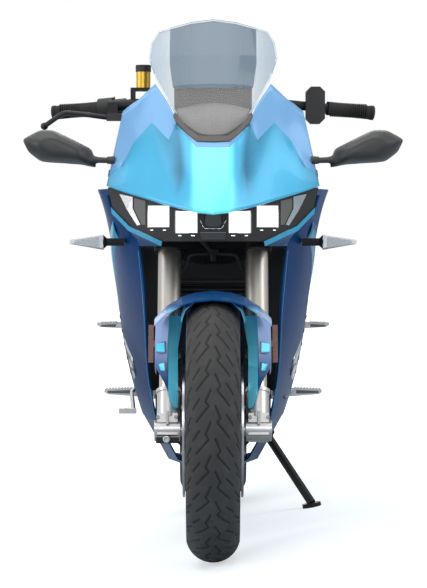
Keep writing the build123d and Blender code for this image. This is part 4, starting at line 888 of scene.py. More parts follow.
# Painted light at each of those points: 1 for the painted highlight of the middle facet, 0 for
# the painted shade of the side valleys and 0.5 for the plain paint.
NOSE_PAINTED_LIGHT = (
    (0.60, 1.00, 1.00, 1.00), (0.60, 1.00, 1.00, 1.00), (0.50, 0.50, 0.56, 0.66),
    (0.50, 0.18, 0.00, 0.55), (0.50, 0.16, 0.36, 0.58), (0.50, 0.28, 0.56, 0.54),
    (0.50, 0.30, 0.50, 0.44), (0.50, 0.26, 0.34, 0.34), (0.50, 0.24, 0.22, 0.26),
)
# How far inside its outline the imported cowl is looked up.
INSIDE = 0.006
# The column where the middle facet ends, and the rows of the brow and the waist.
BREAK_COLUMN, BROW_ROW, WAIST_ROW = 1, 1, 2


class BIKE_OT_nose(bpy.types.Operator):
    """Nose cowl: middle facet with a painted highlight, brow line with painted sheen, side
    valleys with painted shade
    """
    bl_idname = "bike.nose"
    bl_label = "Nose cowl"

    def execute(self, context):
        columns = []
        for column in NOSE_COLUMNS:
            aside = -INSIDE if column is NOSE_COLUMNS[-1] else 0.0
            columns.append([
                (x / 1000, edge_of("nose_cowl", x / 1000, z / 1000, aside, up) + back / 1000,
                 z / 1000)
                for (x, z, back), up in zip(column, (-INSIDE, 0.0, 0.0, INSIDE))])
        tall = len(columns[0])
        mesh = bmesh.new()
        tone_and_painted_light = mesh.verts.layers.float.new("tone_and_painted_light")
        crease = mesh.edges.layers.float.new("crease_edge")
        corner = mesh.verts.layers.float.new("crease_vert")
        brow = mesh.faces.layers.float.new("brow")
        order = {vert: index for index, vert in enumerate(sheet_from(mesh, columns))}
        for vert, index in order.items():
            vert[tone_and_painted_light] = NOSE_PAINTED_LIGHT[index // tall][index % tall]
            vert[corner] = 0.0 if index % tall == WAIST_ROW else 1.0
        for edge in mesh.edges:
            first, second = sorted(order[vert] for vert in edge.verts)
            upright = second - first == 1
            if (edge.is_boundary or (upright and first // tall == BREAK_COLUMN)
                    or (not upright and first % tall == BROW_ROW)):
                edge[crease] = 1.0
        for face in mesh.faces:
            face[brow] = float(max(order[vert] % tall for vert in face.verts) == BROW_ROW)
        face_towards(mesh, mesh.faces, FORWARD)
        mirrored_x(mesh, middle=True)
        look(mesh, FORWARD)
        thing = new_piece("nose_panel", mesh, "Nose paint")
        thing.data.materials.append(FINISHES["Black moulding"])
        walled(rounded(thing, 3), 0.0035).material_offset = 1
        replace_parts(thing, "nose_cowl")
        self.bezel()
        self.visor()
        self.screen_edge()
        return {"FINISHED"}

    @staticmethod
    def bezel():
        """The dark surround at the screen's base."""
        outer = ((0, 955), (37, 956), (60, 974), (84, 1000), (92, 1018))
        inner = ((0, 968), (33, 969), (54, 984), (77, 1008), (86, 1024))
        columns = []
        for (xo, zo), (xi, zi) in zip(outer, inner):
            base = edge_of("nose_cowl", xo / 1000, zo / 1000, 0, -INSIDE) - 0.0040
            columns.append([(xo / 1000, base, zo / 1000),
                            (xi / 1000, base + (zi - zo) / 1000 - 0.0015, zi / 1000)])
        thing = sheet_piece("screen_bezel", columns, "Bezel moulding",
                            middle=True, smooth=False)
        walled(thing, 0.006)
        soften(thing, 0.0008)

    @staticmethod
    def visor():
        """Pale cover under the screen and the visor over the dash."""
        def behind(x, y, z):
            """The point, or one 9 mm behind the screen where it isn't."""
            screen = front_of("windscreen", x / 1000, z / 1000, -0.55) + 0.009
            return (x / 1000, max(y, screen), z / 1000)
        cover, hood = [], []
        for x, low in ((0, 965), (34, 967), (60, 988), (84, 1012)):
            start = front_of("windscreen", x / 1000, low / 1000) + 0.007
            top = 1049 - 0.0023 * x ** 2
            cover.append([behind(x, start + (DASH_FACE - start) * share,
                                 low + (top - low) * share + 10 * math.sin(share * math.pi))
                          for share in (0.0, 0.33, 0.66, 1.0)])
        for x in (0, 34, 66, 90):
            drop = 5 * (x / 90) ** 4
            hood.append([behind(x, DASH_FACE - 0.004, 1018), behind(x, DASH_FACE, 1060),
                         behind(x, DASH_FACE + 0.004, 1096 - drop),
                         (x / 1000, DASH_FACE + 0.050, (1092 - drop) / 1000)])
        for name, columns, finish in (("dash_cover", cover, "Dash cover"),
                                      ("dash_visor", hood, "Dash visor")):
            walled(rounded(sheet_piece(name, columns, finish, (0, -1, 1),
                                       middle=True), 2), 0.0025)

    @staticmethod
    def screen_edge():
        """The polished edge that runs round the windscreen."""
        path = [(86, 1020), (110, 1060), (134, 1104), (151, 1155), (148, 1176), (145, 1194),
                (128, 1222), (90, 1232), (52, 1242), (0, 1249)]
        path += [(-x, z) for x, z in reversed(path[:-1])]
        columns = []
        for index, (x, z) in enumerate(path):
            before, after = path[max(index - 1, 0)], path[min(index + 1, len(path) - 1)]
            along = Vector((after[0] - before[0], after[1] - before[1])).normalized()
            across = Vector((along.y, -along.x)) * 3.4
            column = []
            for share in (0.15, 1.0):
                px, pz = (x - across.x * share) / 1000, (z - across.y * share) / 1000
                column.append((px, front_of("windscreen", px, pz, -0.45) - 0.0006, pz))
            columns.append(column)
        mesh = bmesh.new()
        sheet_from(mesh, columns)
        look(mesh, FORWARD)
        walled(new_piece("screen_rim", mesh, "Polished edge"), 0.0009)


# ------------------------------------------------------------ lamps
# Corners of a lens frame round its middle, in mm.
LENS_CORNERS = ((-26.0, -26.0), (26.0, -26.0), (26.0, 26.0), (-26.0, 26.0))


def lamp_skin(x, z):
    """The foremost y of the lamp unit."""
    return front_of("headlamp_unit", x, z, -0.62)


def middle_skin(x, z):
    """The foremost y of the lamp unit's middle."""
    return lamp_skin(0, z)


class BIKE_OT_lamps(bpy.types.Operator):
    """Frames, running lights and the middle blade of the lamp unit"""
    bl_idname = "bike.lamps"
    bl_label = "Lamps"

    def execute(self, context):
        self.frames()
        self.bars()
        for name, outline, finish, slot in (
                ("lamp_flanks", [(216, 836), (184, 829), (184, 802), (166, 765), (174, 763),
                                 (198, 800)], "Lamp silver", "alloy"),
                ("lamp_walls", [(181, 826), (154, 820), (154, 764), (163, 765), (181, 801)],
                 "Lamp grey", "black_plastic")):
            mesh = bmesh.new()
            plate(mesh, outline, lambda x, z: lamp_skin(x, z) + 0.0005, 0.0022)
            mirrored_x(mesh)
            close(mesh)
            soften(new_piece(name, mesh, finish, smooth=False), 0.0006)
        self.blade()
        return {"FINISHED"}

    @staticmethod
    def frames():
        """Frames round the square lenses."""
        mesh = bmesh.new()
        for x, z, y in ((60, 771, -690), (124, 784, -642)):
            start = plate(mesh, [(x + a, z + b) for a, b in LENS_CORNERS],
                          lambda px, pz, y=y: y / 1000 + 0.001, 0.0024)
            caps = [face for face in mesh.faces if all(vert in start for vert in face.verts)]
            bmesh.ops.inset_region(mesh, faces=caps, thickness=0.0022, depth=0.0)
            bmesh.ops.translate(mesh, verts=list({v for f in caps for v in f.verts}),
                                vec=(0, 0.0023, 0))
        mirrored_x(mesh)
        close(mesh)
        soften(new_piece("lamp_frames", mesh, "Lamp silver", smooth=False), 0.0004)

    @staticmethod
    def bars():
        """Two short light bars under each lens."""
        mesh = bmesh.new()
        for x, z in ((109.5, 752.6), (138.5, 752.6), (45.5, 740), (74.5, 740)):
            skin = lamp_skin(x / 1000, z / 1000)
            add_cube(mesh, (x / 1000, skin - 0.0004, z / 1000), (0.0085, 0.002, 0.0016))
        mirrored_x(mesh)
        new_piece("lamp_bars", mesh, "Lamp light", smooth=False)

    @staticmethod
    def blade():
        """The glossy block between the inner lamps, over a fine silver line."""
        mesh = bmesh.new()
        plate(mesh, [(-17, 792), (17, 792), (19, 766), (12, 760), (-12, 760), (-19, 766)],
              middle_skin, 0.006)
        plate(mesh, [(-30, 748), (30, 748), (26, 730), (-26, 730)], middle_skin, 0.002)
        close(mesh)
        soften(new_piece("lamp_blade", mesh, "Gloss black", smooth=False),
               0.0008)
        mesh = bmesh.new()
        line = [(x / 1000, lamp_skin(x / 1000, z / 1000) - 0.001, z / 1000) for x, z in (
            (-29, 776), (-24, 764), (-19, 756), (19, 756), (24, 764), (29, 776))]
        for start, end in zip(line, line[1:]):
            add_rod(mesh, start, end, 0.0014, sides=8)
        new_piece("lamp_line", mesh, "Lamp silver")


# ------------------------------------------------------------ panels
# Half width, in mm, of a side panel's front edge at heights in mm.
PANEL_EDGE = ((300, 134), (425, 154), (560, 160), (700, 172), (850, 205))
# Rows (y, low z, high z) of the raised blade and of the scoop on a side panel.
BLADE = ((-0.36, 0.735, 0.775), (-0.27, 0.700, 0.752), (-0.18, 0.652, 0.712),
         (-0.10, 0.600, 0.655), (-0.05, 0.560, 0.585))
SCOOP = ((-0.268, 0.404, 0.445), (-0.240, 0.398, 0.462), (-0.210, 0.392, 0.478),
         (-0.180, 0.388, 0.492))


def panel_edge(z):
    """Half width, in mm, of a side panel's front edge at a height in mm."""
    for (z0, x0), (z1, x1) in zip(PANEL_EDGE, PANEL_EDGE[1:]):
        if z <= z1:
            return x0 + (x1 - x0) * (z - z0) / (z1 - z0)


def side_x(y, z):
    """The x of the left side panel's outside."""
    return touch("fairing_left", (0.6, y, z)).x


def side_columns(rows, shares, start, end, proud, bulge):
    """Columns of points on the side panel, from rows (y, low z, high z)."""
    columns = []
    for y, low, high in rows:
        heights = [low + (high - low) * (start + (end - start) * share) for share in shares]
        columns.append([(side_x(y, z) + (proud + bulge * math.sin(share * math.pi)), y, z)
                        for share, z in zip(shares, heights)])
    return columns


def both_sides(mesh):
    """The same trim on both sides, looking outwards."""
    look(mesh)
    mirrored_x(mesh)
    look(mesh)


class BIKE_OT_panels(bpy.types.Operator):
    """Tank cover, tail and mirrors with rounded edges, and the side panels' trim, painted edge
    highlights and painted shade in the scoops
    """
    bl_idname = "bike.panels"
    bl_label = "Panels"

    def execute(self, context):
        melted_copy("tank_cover", "tank_shell", "Pearl cyan paint", 0.0065, 34)
        melted_copy("tail_cowl", "tail_shell", "Pearl cyan paint", 0.0055, 14)
        melted_copy("mirrors", "mirror_housings", "Mirror moulding",
                    0.0030, 30)
        self.mirror_feet()
        self.charge_lid()
        self.front_edge_highlight()
        self.shrouds()
        self.side_trim()
        self.vents()
        return {"FINISHED"}

    @staticmethod
    def mirror_feet():
        """Round bosses between the mirror stalks and the nose."""
        ends = [p for p in upright_points("mirrors") if 0 < p.x < 0.2362]
        middle = sum(ends, Vector()) / len(ends)
        mesh = bmesh.new()
        for side in SIDES:
            add_rod(mesh, (0.2270 * side, middle.y, middle.z),
                    (0.2450 * side, middle.y, middle.z), 0.0098, 0.0084, 28)
        soften(new_piece("mirror_feet", mesh, "Mirror moulding"), 0.0010)

    @staticmethod
    def charge_lid():
        """Charge lid on the tank cover."""
        mesh = bmesh.new()
        top = touch("tank_cover", (0, -0.10, 2.0), DOWN).z
        for radius, rise in ((0.043, 0.0035), (0.034, 0.0065)):
            add_rod(mesh, (0, -0.10, top - 0.01), (0, -0.10, top + rise), radius, sides=48)
        soften(new_piece("charge_lid", mesh, "Gloss black"), 0.0012)

    @staticmethod
    def front_edge_highlight():
        """A painted highlight: a thin cyan line down the inner front edge of each side panel."""
        columns = []
        for z in range(300, 720, 15):
            x = panel_edge(z)
            y = front_of("fairing_left", x / 1000 + 0.003, z / 1000, -0.45)
            columns.append([(x / 1000 + aside, y - 0.0012, z / 1000)
                            for aside in (0.0004, 0.0022, 0.0040)])
        walled(sheet_piece("panel_edge_highlights", columns, "Edge highlight paint"), 0.0008)

    @staticmethod
    def shrouds():
        """Dark inner panels between the cooler and the side panels."""
        columns = []
        for z in (0.37, 0.43, 0.50, 0.57, 0.64, 0.70, 0.74):
            wall = touch("fairing_left", (0.06, -0.345, z), (1, 0, 0))
            columns.append([(share * (wall.x - 0.0006) + (1 - share) * 0.1125,
                             -0.345 + 0.012 * math.sin(share * math.pi), z)
                            for share in (0.0, 0.25, 0.5, 0.75, 1.0)])
        walled(sheet_piece("inner_shrouds", columns, "Black moulding"),
               0.0025)

    @staticmethod
    def side_trim():
        """Raised blade on the outside of each side panel, and a scoop: a gloss black sheet as the
        painted shade of an opening, under a silver lip.
        """
        mesh = bmesh.new()
        sheet_from(mesh, side_columns(BLADE, (0.0, 0.35, 0.65, 1.0), 0.0, 1.0, 0.0012, 0.004))
        both_sides(mesh)
        walled(rounded(new_piece("side_blades", mesh, "Pearl cyan paint"), 2),
               0.0015)
        for name, start, end, finish, slot in (
                # The gloss black sheet is the painted shade of an opening.
                ("scoop_shades", 0.0, 0.56, "Gloss black", "black_plastic"),
                ("scoop_lips", 0.54, 1.0, "Lamp silver", "alloy")):
            columns = side_columns(SCOOP, (0.0, 0.5, 1.0), start, end, 0.0010, 0.0012)
            walled(sheet_piece(name, columns, finish, way=None), 0.0012)

    @staticmethod
    def vents():
        """Vent slats behind the scoop."""
        mesh = bmesh.new()
        for row in range(5):
            z = 0.40 + row * 0.034
            columns = []
            for step in range(6):
                y = -0.14 + step * 0.034 - row * 0.008
                x = side_x(y, z)
                columns.append([(x + 0.0008, y, z), (x + 0.0024, y, z + 0.006),
                                (x + 0.0008, y, z + 0.016)])
            sheet_from(mesh, columns)
        both_sides(mesh)
        walled(new_piece("side_vents", mesh, "Black moulding", smooth=False),
               0.001)


# ------------------------------------------------------------ seats
CLOTH_FRAMES = 20


class BIKE_OT_seats(bpy.types.Operator):
    """Seat pads filled by a cloth simulation"""
    bl_idname = "bike.seats"
    bl_label = "Seats"

    def execute(self, context):
        self.pad(context, "rider_seat", "rider_pad", 0.009)
        self.pad(context, "pillion_seat", "pillion_pad", 0.007)
        return {"FINISHED"}

    @staticmethod
    def pad(context, node, name, cap):
        """A pad in a seat's place, taken in a little before it is filled."""
        mesh = merged_copy(node)
        lowest = min(vert.co.z for vert in mesh.verts)
        middle = sum((v.co for v in mesh.verts), Vector()) / len(mesh.verts)
        for vert in mesh.verts:
            if vert.co.z > lowest + 0.004:
                vert.co.x -= math.copysign(min(abs(vert.co.x), 0.004), vert.co.x)
                vert.co.y += (middle.y - vert.co.y) * 0.02
                vert.co.z -= 0.005
        data = voxels_of(mesh, name, 0.0055)
        fill(context, data, name, cap)
        mesh = bmesh.new()
        mesh.from_mesh(data)
        softened(mesh)
        thing = rounded(new_piece(name, mesh, "Grained vinyl"), 1)
        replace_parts(thing, node)


def fill(context, data, name, cap):
    """Swells a mesh by 20 frames of cloth under pressure, held at its base."""
    work = linked(name + " cloth", data)
    rest = [vert.co.copy() for vert in data.vertices]
    low = min(point.z for point in rest)
    held = work.vertex_groups.new(name="base")
    held.add([i for i, point in enumerate(rest)
              if data.vertices[i].normal.z < -0.5 or point.z < low + 0.012], 1.0, "REPLACE")
    cloth = work.modifiers.new("cloth", "CLOTH")
    cloth.settings.vertex_group_mass = "base"
    cloth.settings.use_pressure = True
    cloth.settings.uniform_pressure_force = 4.0
    cloth.settings.effector_weights.gravity = 0.0
    cloth.settings.quality = 5
    cloth.point_cache.frame_start, cloth.point_cache.frame_end = 1, CLOTH_FRAMES
    for number in range(1, CLOTH_FRAMES + 1):
        context.scene.frame_set(number)
    after = work.evaluated_get(context.evaluated_depsgraph_get()).to_mesh()
    for vert, start in zip(data.vertices, rest):
        move = after.vertices[vert.index].co - start
        if move.length > cap:
            move = move.normalized() * cap
        vert.co = start + move
    work.modifiers.remove(cloth)
    bpy.data.objects.remove(work)
    context.scene.frame_set(1)


# ------------------------------------------------------------ fittings
# Bolts of each body: the node, the ray's way, the head's radius and the rays'
# starts in mm on the left; the right side has the same.
BOLTS = {
    "chassis": (
        ("fairing_left", INWARD, 5.5, ((600, -330, 760), (600, -120, 780), (600, -250, 350),
                                       (600, 0, 350), (600, 60, 460))),
        ("tail_cowl", INWARD, 4.5, ((600, 620, 820), (600, 780, 850))),
        ("swingarm", INWARD, 6.0, ((600, 640, 330), (600, 590, 345))),
        ("rider_pegs", INWARD, 5.0, ((600, 214, 424), (600, 246, 360))),
        ("pillion_pegs", INWARD, 4.5, ((600, 540, 700),)),
    ),
    "steering": (
        ("fork_feet", AFT, 4.0, ((124, -2000, 330), (84, -2000, 330))),
        ("throttle_housing", AFT, 3.5, ((238, -2000, 1070), (238, -2000, 1041))),
        ("fork_yokes", AFT, 4.5, ((127, -2000, 742), (127, -2000, 760))),
        ("front_calipers", INWARD, 4.5, ((600, -620, 330), (600, -640, 390))),
    ),
}
# Rings of bolts on each wheel: the axle's y and z, and the node, the ring's
# radius, the count and the head's radius.
BOLT_RINGS = {
    "front_wheel": (-WHEELBASE / 2, FRONT_R, (("front_discs", 0.052, 6, 0.0048),)),
    "rear_wheel": (WHEELBASE / 2, REAR_R, (("rear_disc", 0.045, 5, 0.0045),
                                           ("rear_sprocket", 0.048, 5, 0.0055))),
}
# The chain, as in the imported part: pitch, the sprockets' teeth, the front
# sprocket's y and z, and the middle and half width of its links.
PITCH, REAR_TEETH, FRONT_TEETH = 0.015875, 39, 16
FRONT_SPROCKET = (0.120, 0.398)
CHAIN_X, CHAIN_HALF = 0.109, 0.0080
GRIP_RIBS = 17
# x of the fork feet.
FOOT_X = 0.103
# The shock's coil: turns, steps in a turn, radius and wire radius.
COIL_TURNS, COIL_STEPS, COIL_R, COIL_WIRE = 7, 22, 0.0285, 0.0052


def pitch_r(teeth):
    """Pitch radius of a sprocket."""
    return PITCH / 2 / math.sin(math.pi / teeth)


def towards(angle):
    """The unit vector at an angle."""
    return Vector((math.cos(angle), math.sin(angle)))


def chain_path():
    """The number of links and a function from a share of the chain to its y and z."""
    big, small = pitch_r(REAR_TEETH), pitch_r(FRONT_TEETH)
    big_at, small_at = Vector((WHEELBASE / 2, REAR_R)), Vector(FRONT_SPROCKET)
    run = big_at - small_at
    tilt = math.asin((big - small) / run.length)
    slope = math.atan2(run.y, run.x)
    straight = math.sqrt(run.length ** 2 - (big - small) ** 2)
    wraps = (math.pi + 2 * tilt, math.pi - 2 * tilt)
    length = 2 * straight + big * wraps[0] + small * wraps[1]
    upper, lower = slope + math.pi / 2 + tilt, slope - math.pi / 2 - tilt

    def on_path(share):
        at = share * length % length
        if at < straight:
            start, end = small_at + small * towards(upper), big_at + big * towards(upper)
            return start + (end - start) * at / straight
        at -= straight
        if at < big * wraps[0]:
            return big_at + big * towards(upper - at / big)
        at -= big * wraps[0]
        if at < straight:
            start, end = big_at + big * towards(lower), small_at + small * towards(lower)
            return start + (end - start) * at / straight
        return small_at + small * towards(lower - (at - straight) / small)

    return 2 * round(length / PITCH / 2), on_path


class BIKE_OT_fittings(bpy.types.Operator):
    """Bolts, grip ribs, peg teeth, chain pins, spring and lamp cores"""
    bl_idname = "bike.fittings"
    bl_label = "Fittings"

    def execute(self, context):
        self.fender_slots()
        self.bolts()
        self.peg_teeth()
        self.peg_bands()
        self.grips()
        self.chain()
        self.spring()
        self.clamps()
        inner_copy("indicator_lenses", "indicator_cores", "Lamp silver", 0.72)
        self.collars()
        return {"FINISHED"}

    @staticmethod
    def fender_slots():
        """Two bright inserts on each fender arm, each over a dark plate that shows past its inner
        side, top and bottom as the painted shade of a recess.
        """
        for name, grow, lift, finish, slot in (
                ("slot_shades", 3.0, 0.0010, "Slot shade", "blue_paint"),
                ("slot_inserts", 0.0, 0.0022, "Slot paint", "cyan_paint")):
            mesh = bmesh.new()
            for low, high, outer in ((476, 497, 129), (434, 451, 124)):
                outline = [(outer, high - 3), (111 - grow, high + grow),
                           (110 - grow, low - grow), (outer - (129 - outer), low - grow)]
                plate(mesh, outline, lambda x, z, lift=lift: front_of(
                    "front_fender", min(x, 0.121), z, -0.74) - lift, 0.0012)
            close(mesh)
            mirrored_x(mesh)
            close(mesh)
            new_piece(name, mesh, finish, "steering", smooth=False)

    @staticmethod
    def bolts():
        """Socket heads, each set where a ray meets the piece that it holds."""
        for body, rows in BOLTS.items():
            mesh = bmesh.new()
            for node, way, radius, starts in rows:
                for x, y, z in starts:
                    for side in SIDES:
                        place, out = hit_on(node, Vector((x * side, y, z)) / 1000,
                                            (way[0] * side, *way[1:]))
                        if place is not None:
                            add_bolt(mesh, place, out, radius / 1000)
            close(mesh)
            new_piece(body + "_bolts", mesh, "Bolt steel", body, smooth=False)
        for body, (axle_y, axle_z, rings) in BOLT_RINGS.items():
            mesh = bmesh.new()
            for node, ring, count, radius in rings:
                for k in range(count):
                    angle = 2 * math.pi * (k + 0.5) / count
                    y, z = axle_y + ring * math.cos(angle), axle_z + ring * math.sin(angle)
                    for side in SIDES:
                        place, _ = hit_on(node, (0.5 * side, y, z), (-side, 0, 0))
                        if place is not None and place.x * side > 0.02:
                            add_bolt(mesh, place, (side, 0, 0), radius)
            close(mesh)
            new_piece(body + "_bolts", mesh, "Bolt steel", body, smooth=False)

    @staticmethod
    def peg_teeth():
        """Rows of teeth on the pegs' treads."""
        turn = Matrix.Rotation(math.radians(45), 4, "Y")
        mesh = bmesh.new()
        for node, y0, y1, x0, x1, step in (("rider_pegs", 0.209, 0.235, 0.212, 0.276, 0.0078),
                                           ("pillion_pegs", 0.526, 0.584, 0.262, 0.306, 0.0074)):
            for k in range(int((x1 - x0) / step) + 1):
                x, y = x0 + k * step, (y0 + y1) / 2
                top, _ = hit_on(node, (x, y, 0.62), DOWN)
                if top is not None:
                    for side in SIDES:
                        add_cube(mesh, (x * side, y, top.z), (0.0044, y1 - y0, 0.0044), turn)
        new_piece("peg_teeth", mesh, "Cast alloy", smooth=False)

    @staticmethod
    def peg_bands():
        """A grey band on each peg's front."""
        mesh = bmesh.new()
        for node, x0, x1, z0, z1 in (("rider_pegs", 0.214, 0.272, 0.333, 0.342),
                                     ("pillion_pegs", 0.262, 0.302, 0.494, 0.502)):
            for side in SIDES:
                verts = []
                for x, z in ((x0, z0), (x1, z0 + 0.001), (x1, z1 - 0.002), (x0, z1)):
                    place, _ = hit_on(node, (x * side, -2, z), AFT)
                    if place is not None:
                        verts.append(mesh.verts.new((x * side, place.y - 0.0006, z)))
                if len(verts) == 4:
                    mesh.faces.new(verts)
        look(mesh, FORWARD)
        walled(new_piece("peg_bands", mesh, "Band grey", smooth=False), 0.0012)

    @staticmethod
    def grips():
        """Ribs round each grip, between its flange and its end."""
        mesh = bmesh.new()
        points = upright_points("grips")
        for side in SIDES:
            half = [p for p in points if p.x * side > 0]
            ends = []
            for pick in (min, max):
                tip = pick(half, key=lambda p: p.x * side)
                ring = [p for p in half if abs(p.x - tip.x) < 0.006]
                ends.append(sum(ring, Vector()) / len(ring))
            run = ends[1] - ends[0]
            for k in range(GRIP_RIBS):
                at = ends[0] + run * (0.10 + 0.045 * k)
                way = run.normalized() * 0.0011
                add_rod(mesh, at - way, at + way, 0.0174, sides=28)
        new_piece("grip_ribs", mesh, "Stalk rubber", "steering")

    @staticmethod
    def chain():
        """Pins and outer plates of every link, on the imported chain's own path."""
        count, on_path = chain_path()
        mesh = bmesh.new()
        for k in range(count):
            y, z = on_path(k / count)
            for side in SIDES:
                add_rod(mesh, (CHAIN_X + side * (CHAIN_HALF - 0.001), y, z),
                        (CHAIN_X + side * (CHAIN_HALF + 0.0014), y, z), 0.0026, sides=8)
            if k % 2:
                continue
            ny, nz = on_path((k + 1) / count)
            way = Vector((ny - y, nz - z))
            turn = Matrix.Rotation(math.atan2(way.y, way.x), 4, "X")
            for side in SIDES:
                add_cube(mesh, (CHAIN_X + side * (CHAIN_HALF + 0.0002), (y + ny) / 2,
                                (z + nz) / 2), (0.0012, PITCH + 0.0074, 0.0098), turn)
        new_piece("chain_links", mesh, "Chain steel", smooth=False)

    @staticmethod
    def spring():
        """The shock's coil, wound round its sleeve."""
        foot = Vector((0, *SHOCK_FOOT))
        run = Vector((0, *SHOCK_TOP)) - foot
        mesh = bmesh.new()
        ring = None
        for k in range(COIL_TURNS * COIL_STEPS + 1):
            share = k / (COIL_TURNS * COIL_STEPS)
            angle = 2 * math.pi * k / COIL_STEPS
            local = Vector((COIL_R * math.cos(angle), COIL_R * math.sin(angle),
                            run.length * (0.20 + 0.60 * share)))
            along = Vector((-math.sin(angle), math.cos(angle), 0.12)).normalized()
            place = (Matrix.Translation(foot) @ upright_on(run) @ Matrix.Translation(local)
                     @ upright_on(along))
            made = bmesh.ops.create_circle(mesh, cap_ends=False, segments=10,
                                           radius=COIL_WIRE, matrix=place)["verts"]
            edges = list({e for v in made for e in v.link_edges})
            if ring:
                bmesh.ops.bridge_loops(mesh, edges=ring + edges)
            ring = edges
        bmesh.ops.holes_fill(mesh, edges=[e for e in mesh.edges if e.is_boundary], sides=12)
        close(mesh)
        new_piece("shock_spring", mesh, "Spring paint")

    @staticmethod
    def clamps():
        """Round axle clamps, collars and end bolts of the fork feet."""
        bright, dark = bmesh.new(), bmesh.new()
        for side in SIDES:
            front = front_of("fork_feet", FOOT_X * side, FRONT_R + 0.004, -0.73)
            add_rod(bright, (0.0735 * side, front + 0.014, FRONT_R + 0.003),
                    (0.1325 * side, front + 0.014, FRONT_R + 0.003), 0.0180, sides=36)
            add_cube(bright, (FOOT_X * side, front + 0.0005, FRONT_R + 0.030),
                     (0.0060, 0.012, 0.030))
            for up, radius in ((0.352, 0.0262), (0.360, 0.0246), (0.384, 0.0262)):
                at = Vector((0.101 * side, -0.6735 + (up - 0.352) * math.tan(RAKE), up))
                way = Vector((0, math.sin(RAKE), math.cos(RAKE))) * 0.0022
                add_rod(bright, at - way, at + way, radius, sides=36)
        low = front_of("fork_feet", -FOOT_X, 0.283, -0.72)
        add_cube(dark, (-FOOT_X, low + 0.004, 0.281), (0.052, 0.012, 0.020))
        add_bolt(bright, (-0.1050, low - 0.002, 0.281), FORWARD, 0.0085)
        for mesh, name, finish, slot in ((bright, "foot_clamps", "Cast alloy", "alloy"),
                                         (dark, "foot_block", "Dark lever", "black_plastic")):
            close(mesh)
            soften(new_piece(name, mesh, finish, "steering", smooth=False), 0.0010)

    @staticmethod
    def collars():
        """A tapered dark collar on each indicator, and a dark strip along the underside of each
        lens.
        """
        points = upright_points("indicator_lenses")
        mesh = bmesh.new()
        for side in SIDES:
            for tail in (True, False):
                lens = [p for p in points if p.x * side > 0 and (p.y > 0) == tail]
                root = min(p.x * side for p in lens)
                tip = max(lens, key=lambda p: p.x * side)
                ring = [p for p in lens if p.x * side < root + 0.001]
                middle = sum(ring, Vector()) / len(ring)
                wide = max(abs(p.z - middle.z) for p in ring)
                add_rod(mesh, (side * (root + 0.0015), middle.y, middle.z),
                        (side * (root - 0.0085), middle.y, middle.z), wide * 1.03, 0.0082, 28)
                keel = min(ring, key=lambda p: p.z).z + 0.0006
                under = min(p.z for p in lens if abs(p.x - tip.x) < 0.003) + 0.0008
                add_rod(mesh, (side * root, middle.y, keel),
                        (tip.x - side * 0.004, middle.y, under), 0.0022, 0.0012, 12)
        soften(new_piece("indicator_collars", mesh, "Black moulding"), 0.0008)


# ------------------------------------------------------------ stage and camera
# name, place in the upright frame, target, width, height and watts
LIGHTS = (
    ("over", (0.0, -0.6, 4.2), (0, 0, 0.4), 4.0, 3.4, 88),
    ("left strip", (3.4, -1.6, 1.9), (0, -0.4, 0.6), 1.2, 2.8, 34),
    ("right strip", (-3.4, -1.6, 1.9), (0, -0.4, 0.6), 1.2, 2.8, 34),
    ("front", (0.0, -5.5, 2.4), (0, -0.6, 0.6), 3.0, 1.8, 70),
    ("back", (0.0, 4.2, 2.4), (0, 0.4, 0.7), 3.2, 1.8, 55),
)


# The photograph's view: lens in mm, distance before the front axle, place
# across and up, and how many degrees it looks down.
LENS, VIEW_DISTANCE, VIEW_X, VIEW_Z, VIEW_DOWN = 176.0, 6.5, 0.001, 0.739, 1.154


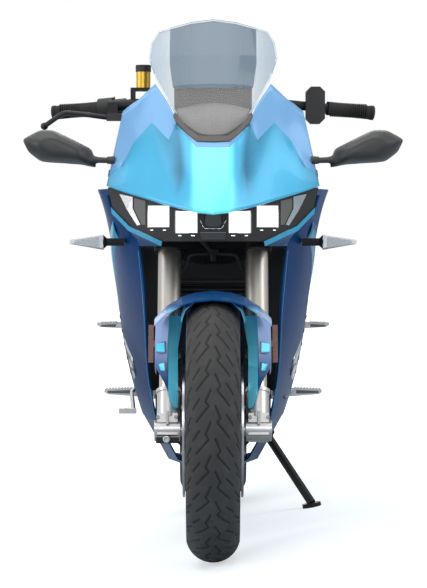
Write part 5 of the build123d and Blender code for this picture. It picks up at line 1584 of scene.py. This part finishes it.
class BIKE_OT_stage(bpy.types.Operator):
    """Pale floor, soft studio lights and the camera"""
    bl_idname = "bike.stage"
    bl_label = "Studio"

    def execute(self, context):
        scene = context.scene
        scene.view_settings.view_transform = "Standard"
        self.floor()
        self.lights(scene.bike_dressing.light_level)
        self.world(scene)
        self.camera(scene)
        return {"FINISHED"}

    @staticmethod
    def floor():
        """A floor that glows white for the camera and falls off round the bike."""
        net = Net("Studio floor")
        seen = net.node("ShaderNodeLightPath")
        x, y, _ = net.parts(net.place())
        far = (x * x + y * y).math("SQRT").smooth(1.0, 3.4)
        net.surface(Base_Color=(0.66, 0.74, 0.80, 1), Roughness=0.8, Specular_IOR_Level=0.0,
                    Emission_Color=WHITE, Emission_Strength=seen * (far * 0.45 + 0.55))
        mesh = bmesh.new()
        bmesh.ops.create_grid(mesh, x_segments=1, y_segments=1, size=30.0)
        data = bpy.data.meshes.new("floor")
        mesh.to_mesh(data)
        mesh.free()
        data.materials.append(net.material)
        linked("floor", data)

    @staticmethod
    def lights(level):
        """Large soft lights round the bike."""
        for name, place, target, width, height, watts in LIGHTS:
            lamp = bpy.data.lights.new(name, "AREA")
            lamp.shape = "RECTANGLE"
            lamp.size, lamp.size_y = width, height
            lamp.energy = watts * level
            thing = linked(name, lamp)
            thing.location = place
            way = Vector(target) - Vector(place)
            thing.rotation_euler = way.to_track_quat("-Z", "Y").to_euler()

    @staticmethod
    def world(scene):
        """A dim sky that the camera, glass and gloss see as white."""
        world = scene.world = bpy.data.worlds.new("Studio")
        world.use_nodes = True
        nodes, links = world.node_tree.nodes, world.node_tree.links
        nodes.clear()
        rays = nodes.new("ShaderNodeLightPath").outputs
        mix = nodes.new("ShaderNodeMixShader")
        seen = rays["Is Camera Ray"]
        for other in ("Is Glossy Ray", "Is Transmission Ray"):
            either = nodes.new("ShaderNodeMath")
            either.operation = "MAXIMUM"
            links.new(seen, either.inputs[0])
            links.new(rays[other], either.inputs[1])
            seen = either.outputs[0]
        links.new(seen, mix.inputs[0])
        for socket, colour, strength in ((1, (0.90, 0.95, 1.0, 1), 0.34), (2, WHITE, 1.0)):
            sky = nodes.new("ShaderNodeBackground")
            sky.inputs[0].default_value = colour
            sky.inputs[1].default_value = strength
            links.new(sky.outputs[0], mix.inputs[socket])
        links.new(mix.outputs[0], nodes.new("ShaderNodeOutputWorld").inputs[0])

    @staticmethod
    def camera(scene):
        """Seen straight from the front, level with the bike's own frame."""
        lens = bpy.data.cameras.new("view")
        lens.lens = LENS
        lens.sensor_width = 36.0
        lens.clip_end = 60.0
        camera = linked("view", lens)
        place = Vector((VIEW_X, -WHEELBASE / 2 - VIEW_DISTANCE, VIEW_Z))
        aim = Matrix.Rotation(math.radians(90 - VIEW_DOWN), 4, "X")
        camera.matrix_world = PARKED @ Matrix.Translation(place) @ aim
        scene.camera = camera


class BIKE_PT_panel(bpy.types.Panel):
    """Shows some of the settings and a button for each step"""
    bl_label = "Sport Bike"
    bl_idname = "BIKE_PT_panel"
    bl_space_type = "VIEW_3D"
    bl_region_type = "UI"
    bl_category = "Sport Bike"

    def draw(self, context):
        for name in ("paint", "body_deep", "body_light", "screen_tint", "tread_depth"):
            self.layout.prop(context.scene.bike_dressing, name)
        for operator in OPERATORS:
            self.layout.operator(operator.bl_idname)


OPERATORS = (BIKE_OT_finishes, BIKE_OT_nose, BIKE_OT_lamps, BIKE_OT_tyres, BIKE_OT_panels,
             BIKE_OT_seats, BIKE_OT_fittings, BIKE_OT_stage)
CLASSES = (BikeDressing, *OPERATORS, BIKE_PT_panel)


def register():
    for cls in CLASSES:
        bpy.utils.register_class(cls)
    bpy.types.Scene.bike_dressing = PointerProperty(type=BikeDressing)


def unregister():
    del bpy.types.Scene.bike_dressing
    for cls in reversed(CLASSES):
        bpy.utils.unregister_class(cls)


def main():
    register()
    for operator in OPERATORS:
        group, call = operator.bl_idname.split(".")
        getattr(getattr(bpy.ops, group), call)()


if __name__ == "__main__":
    main()
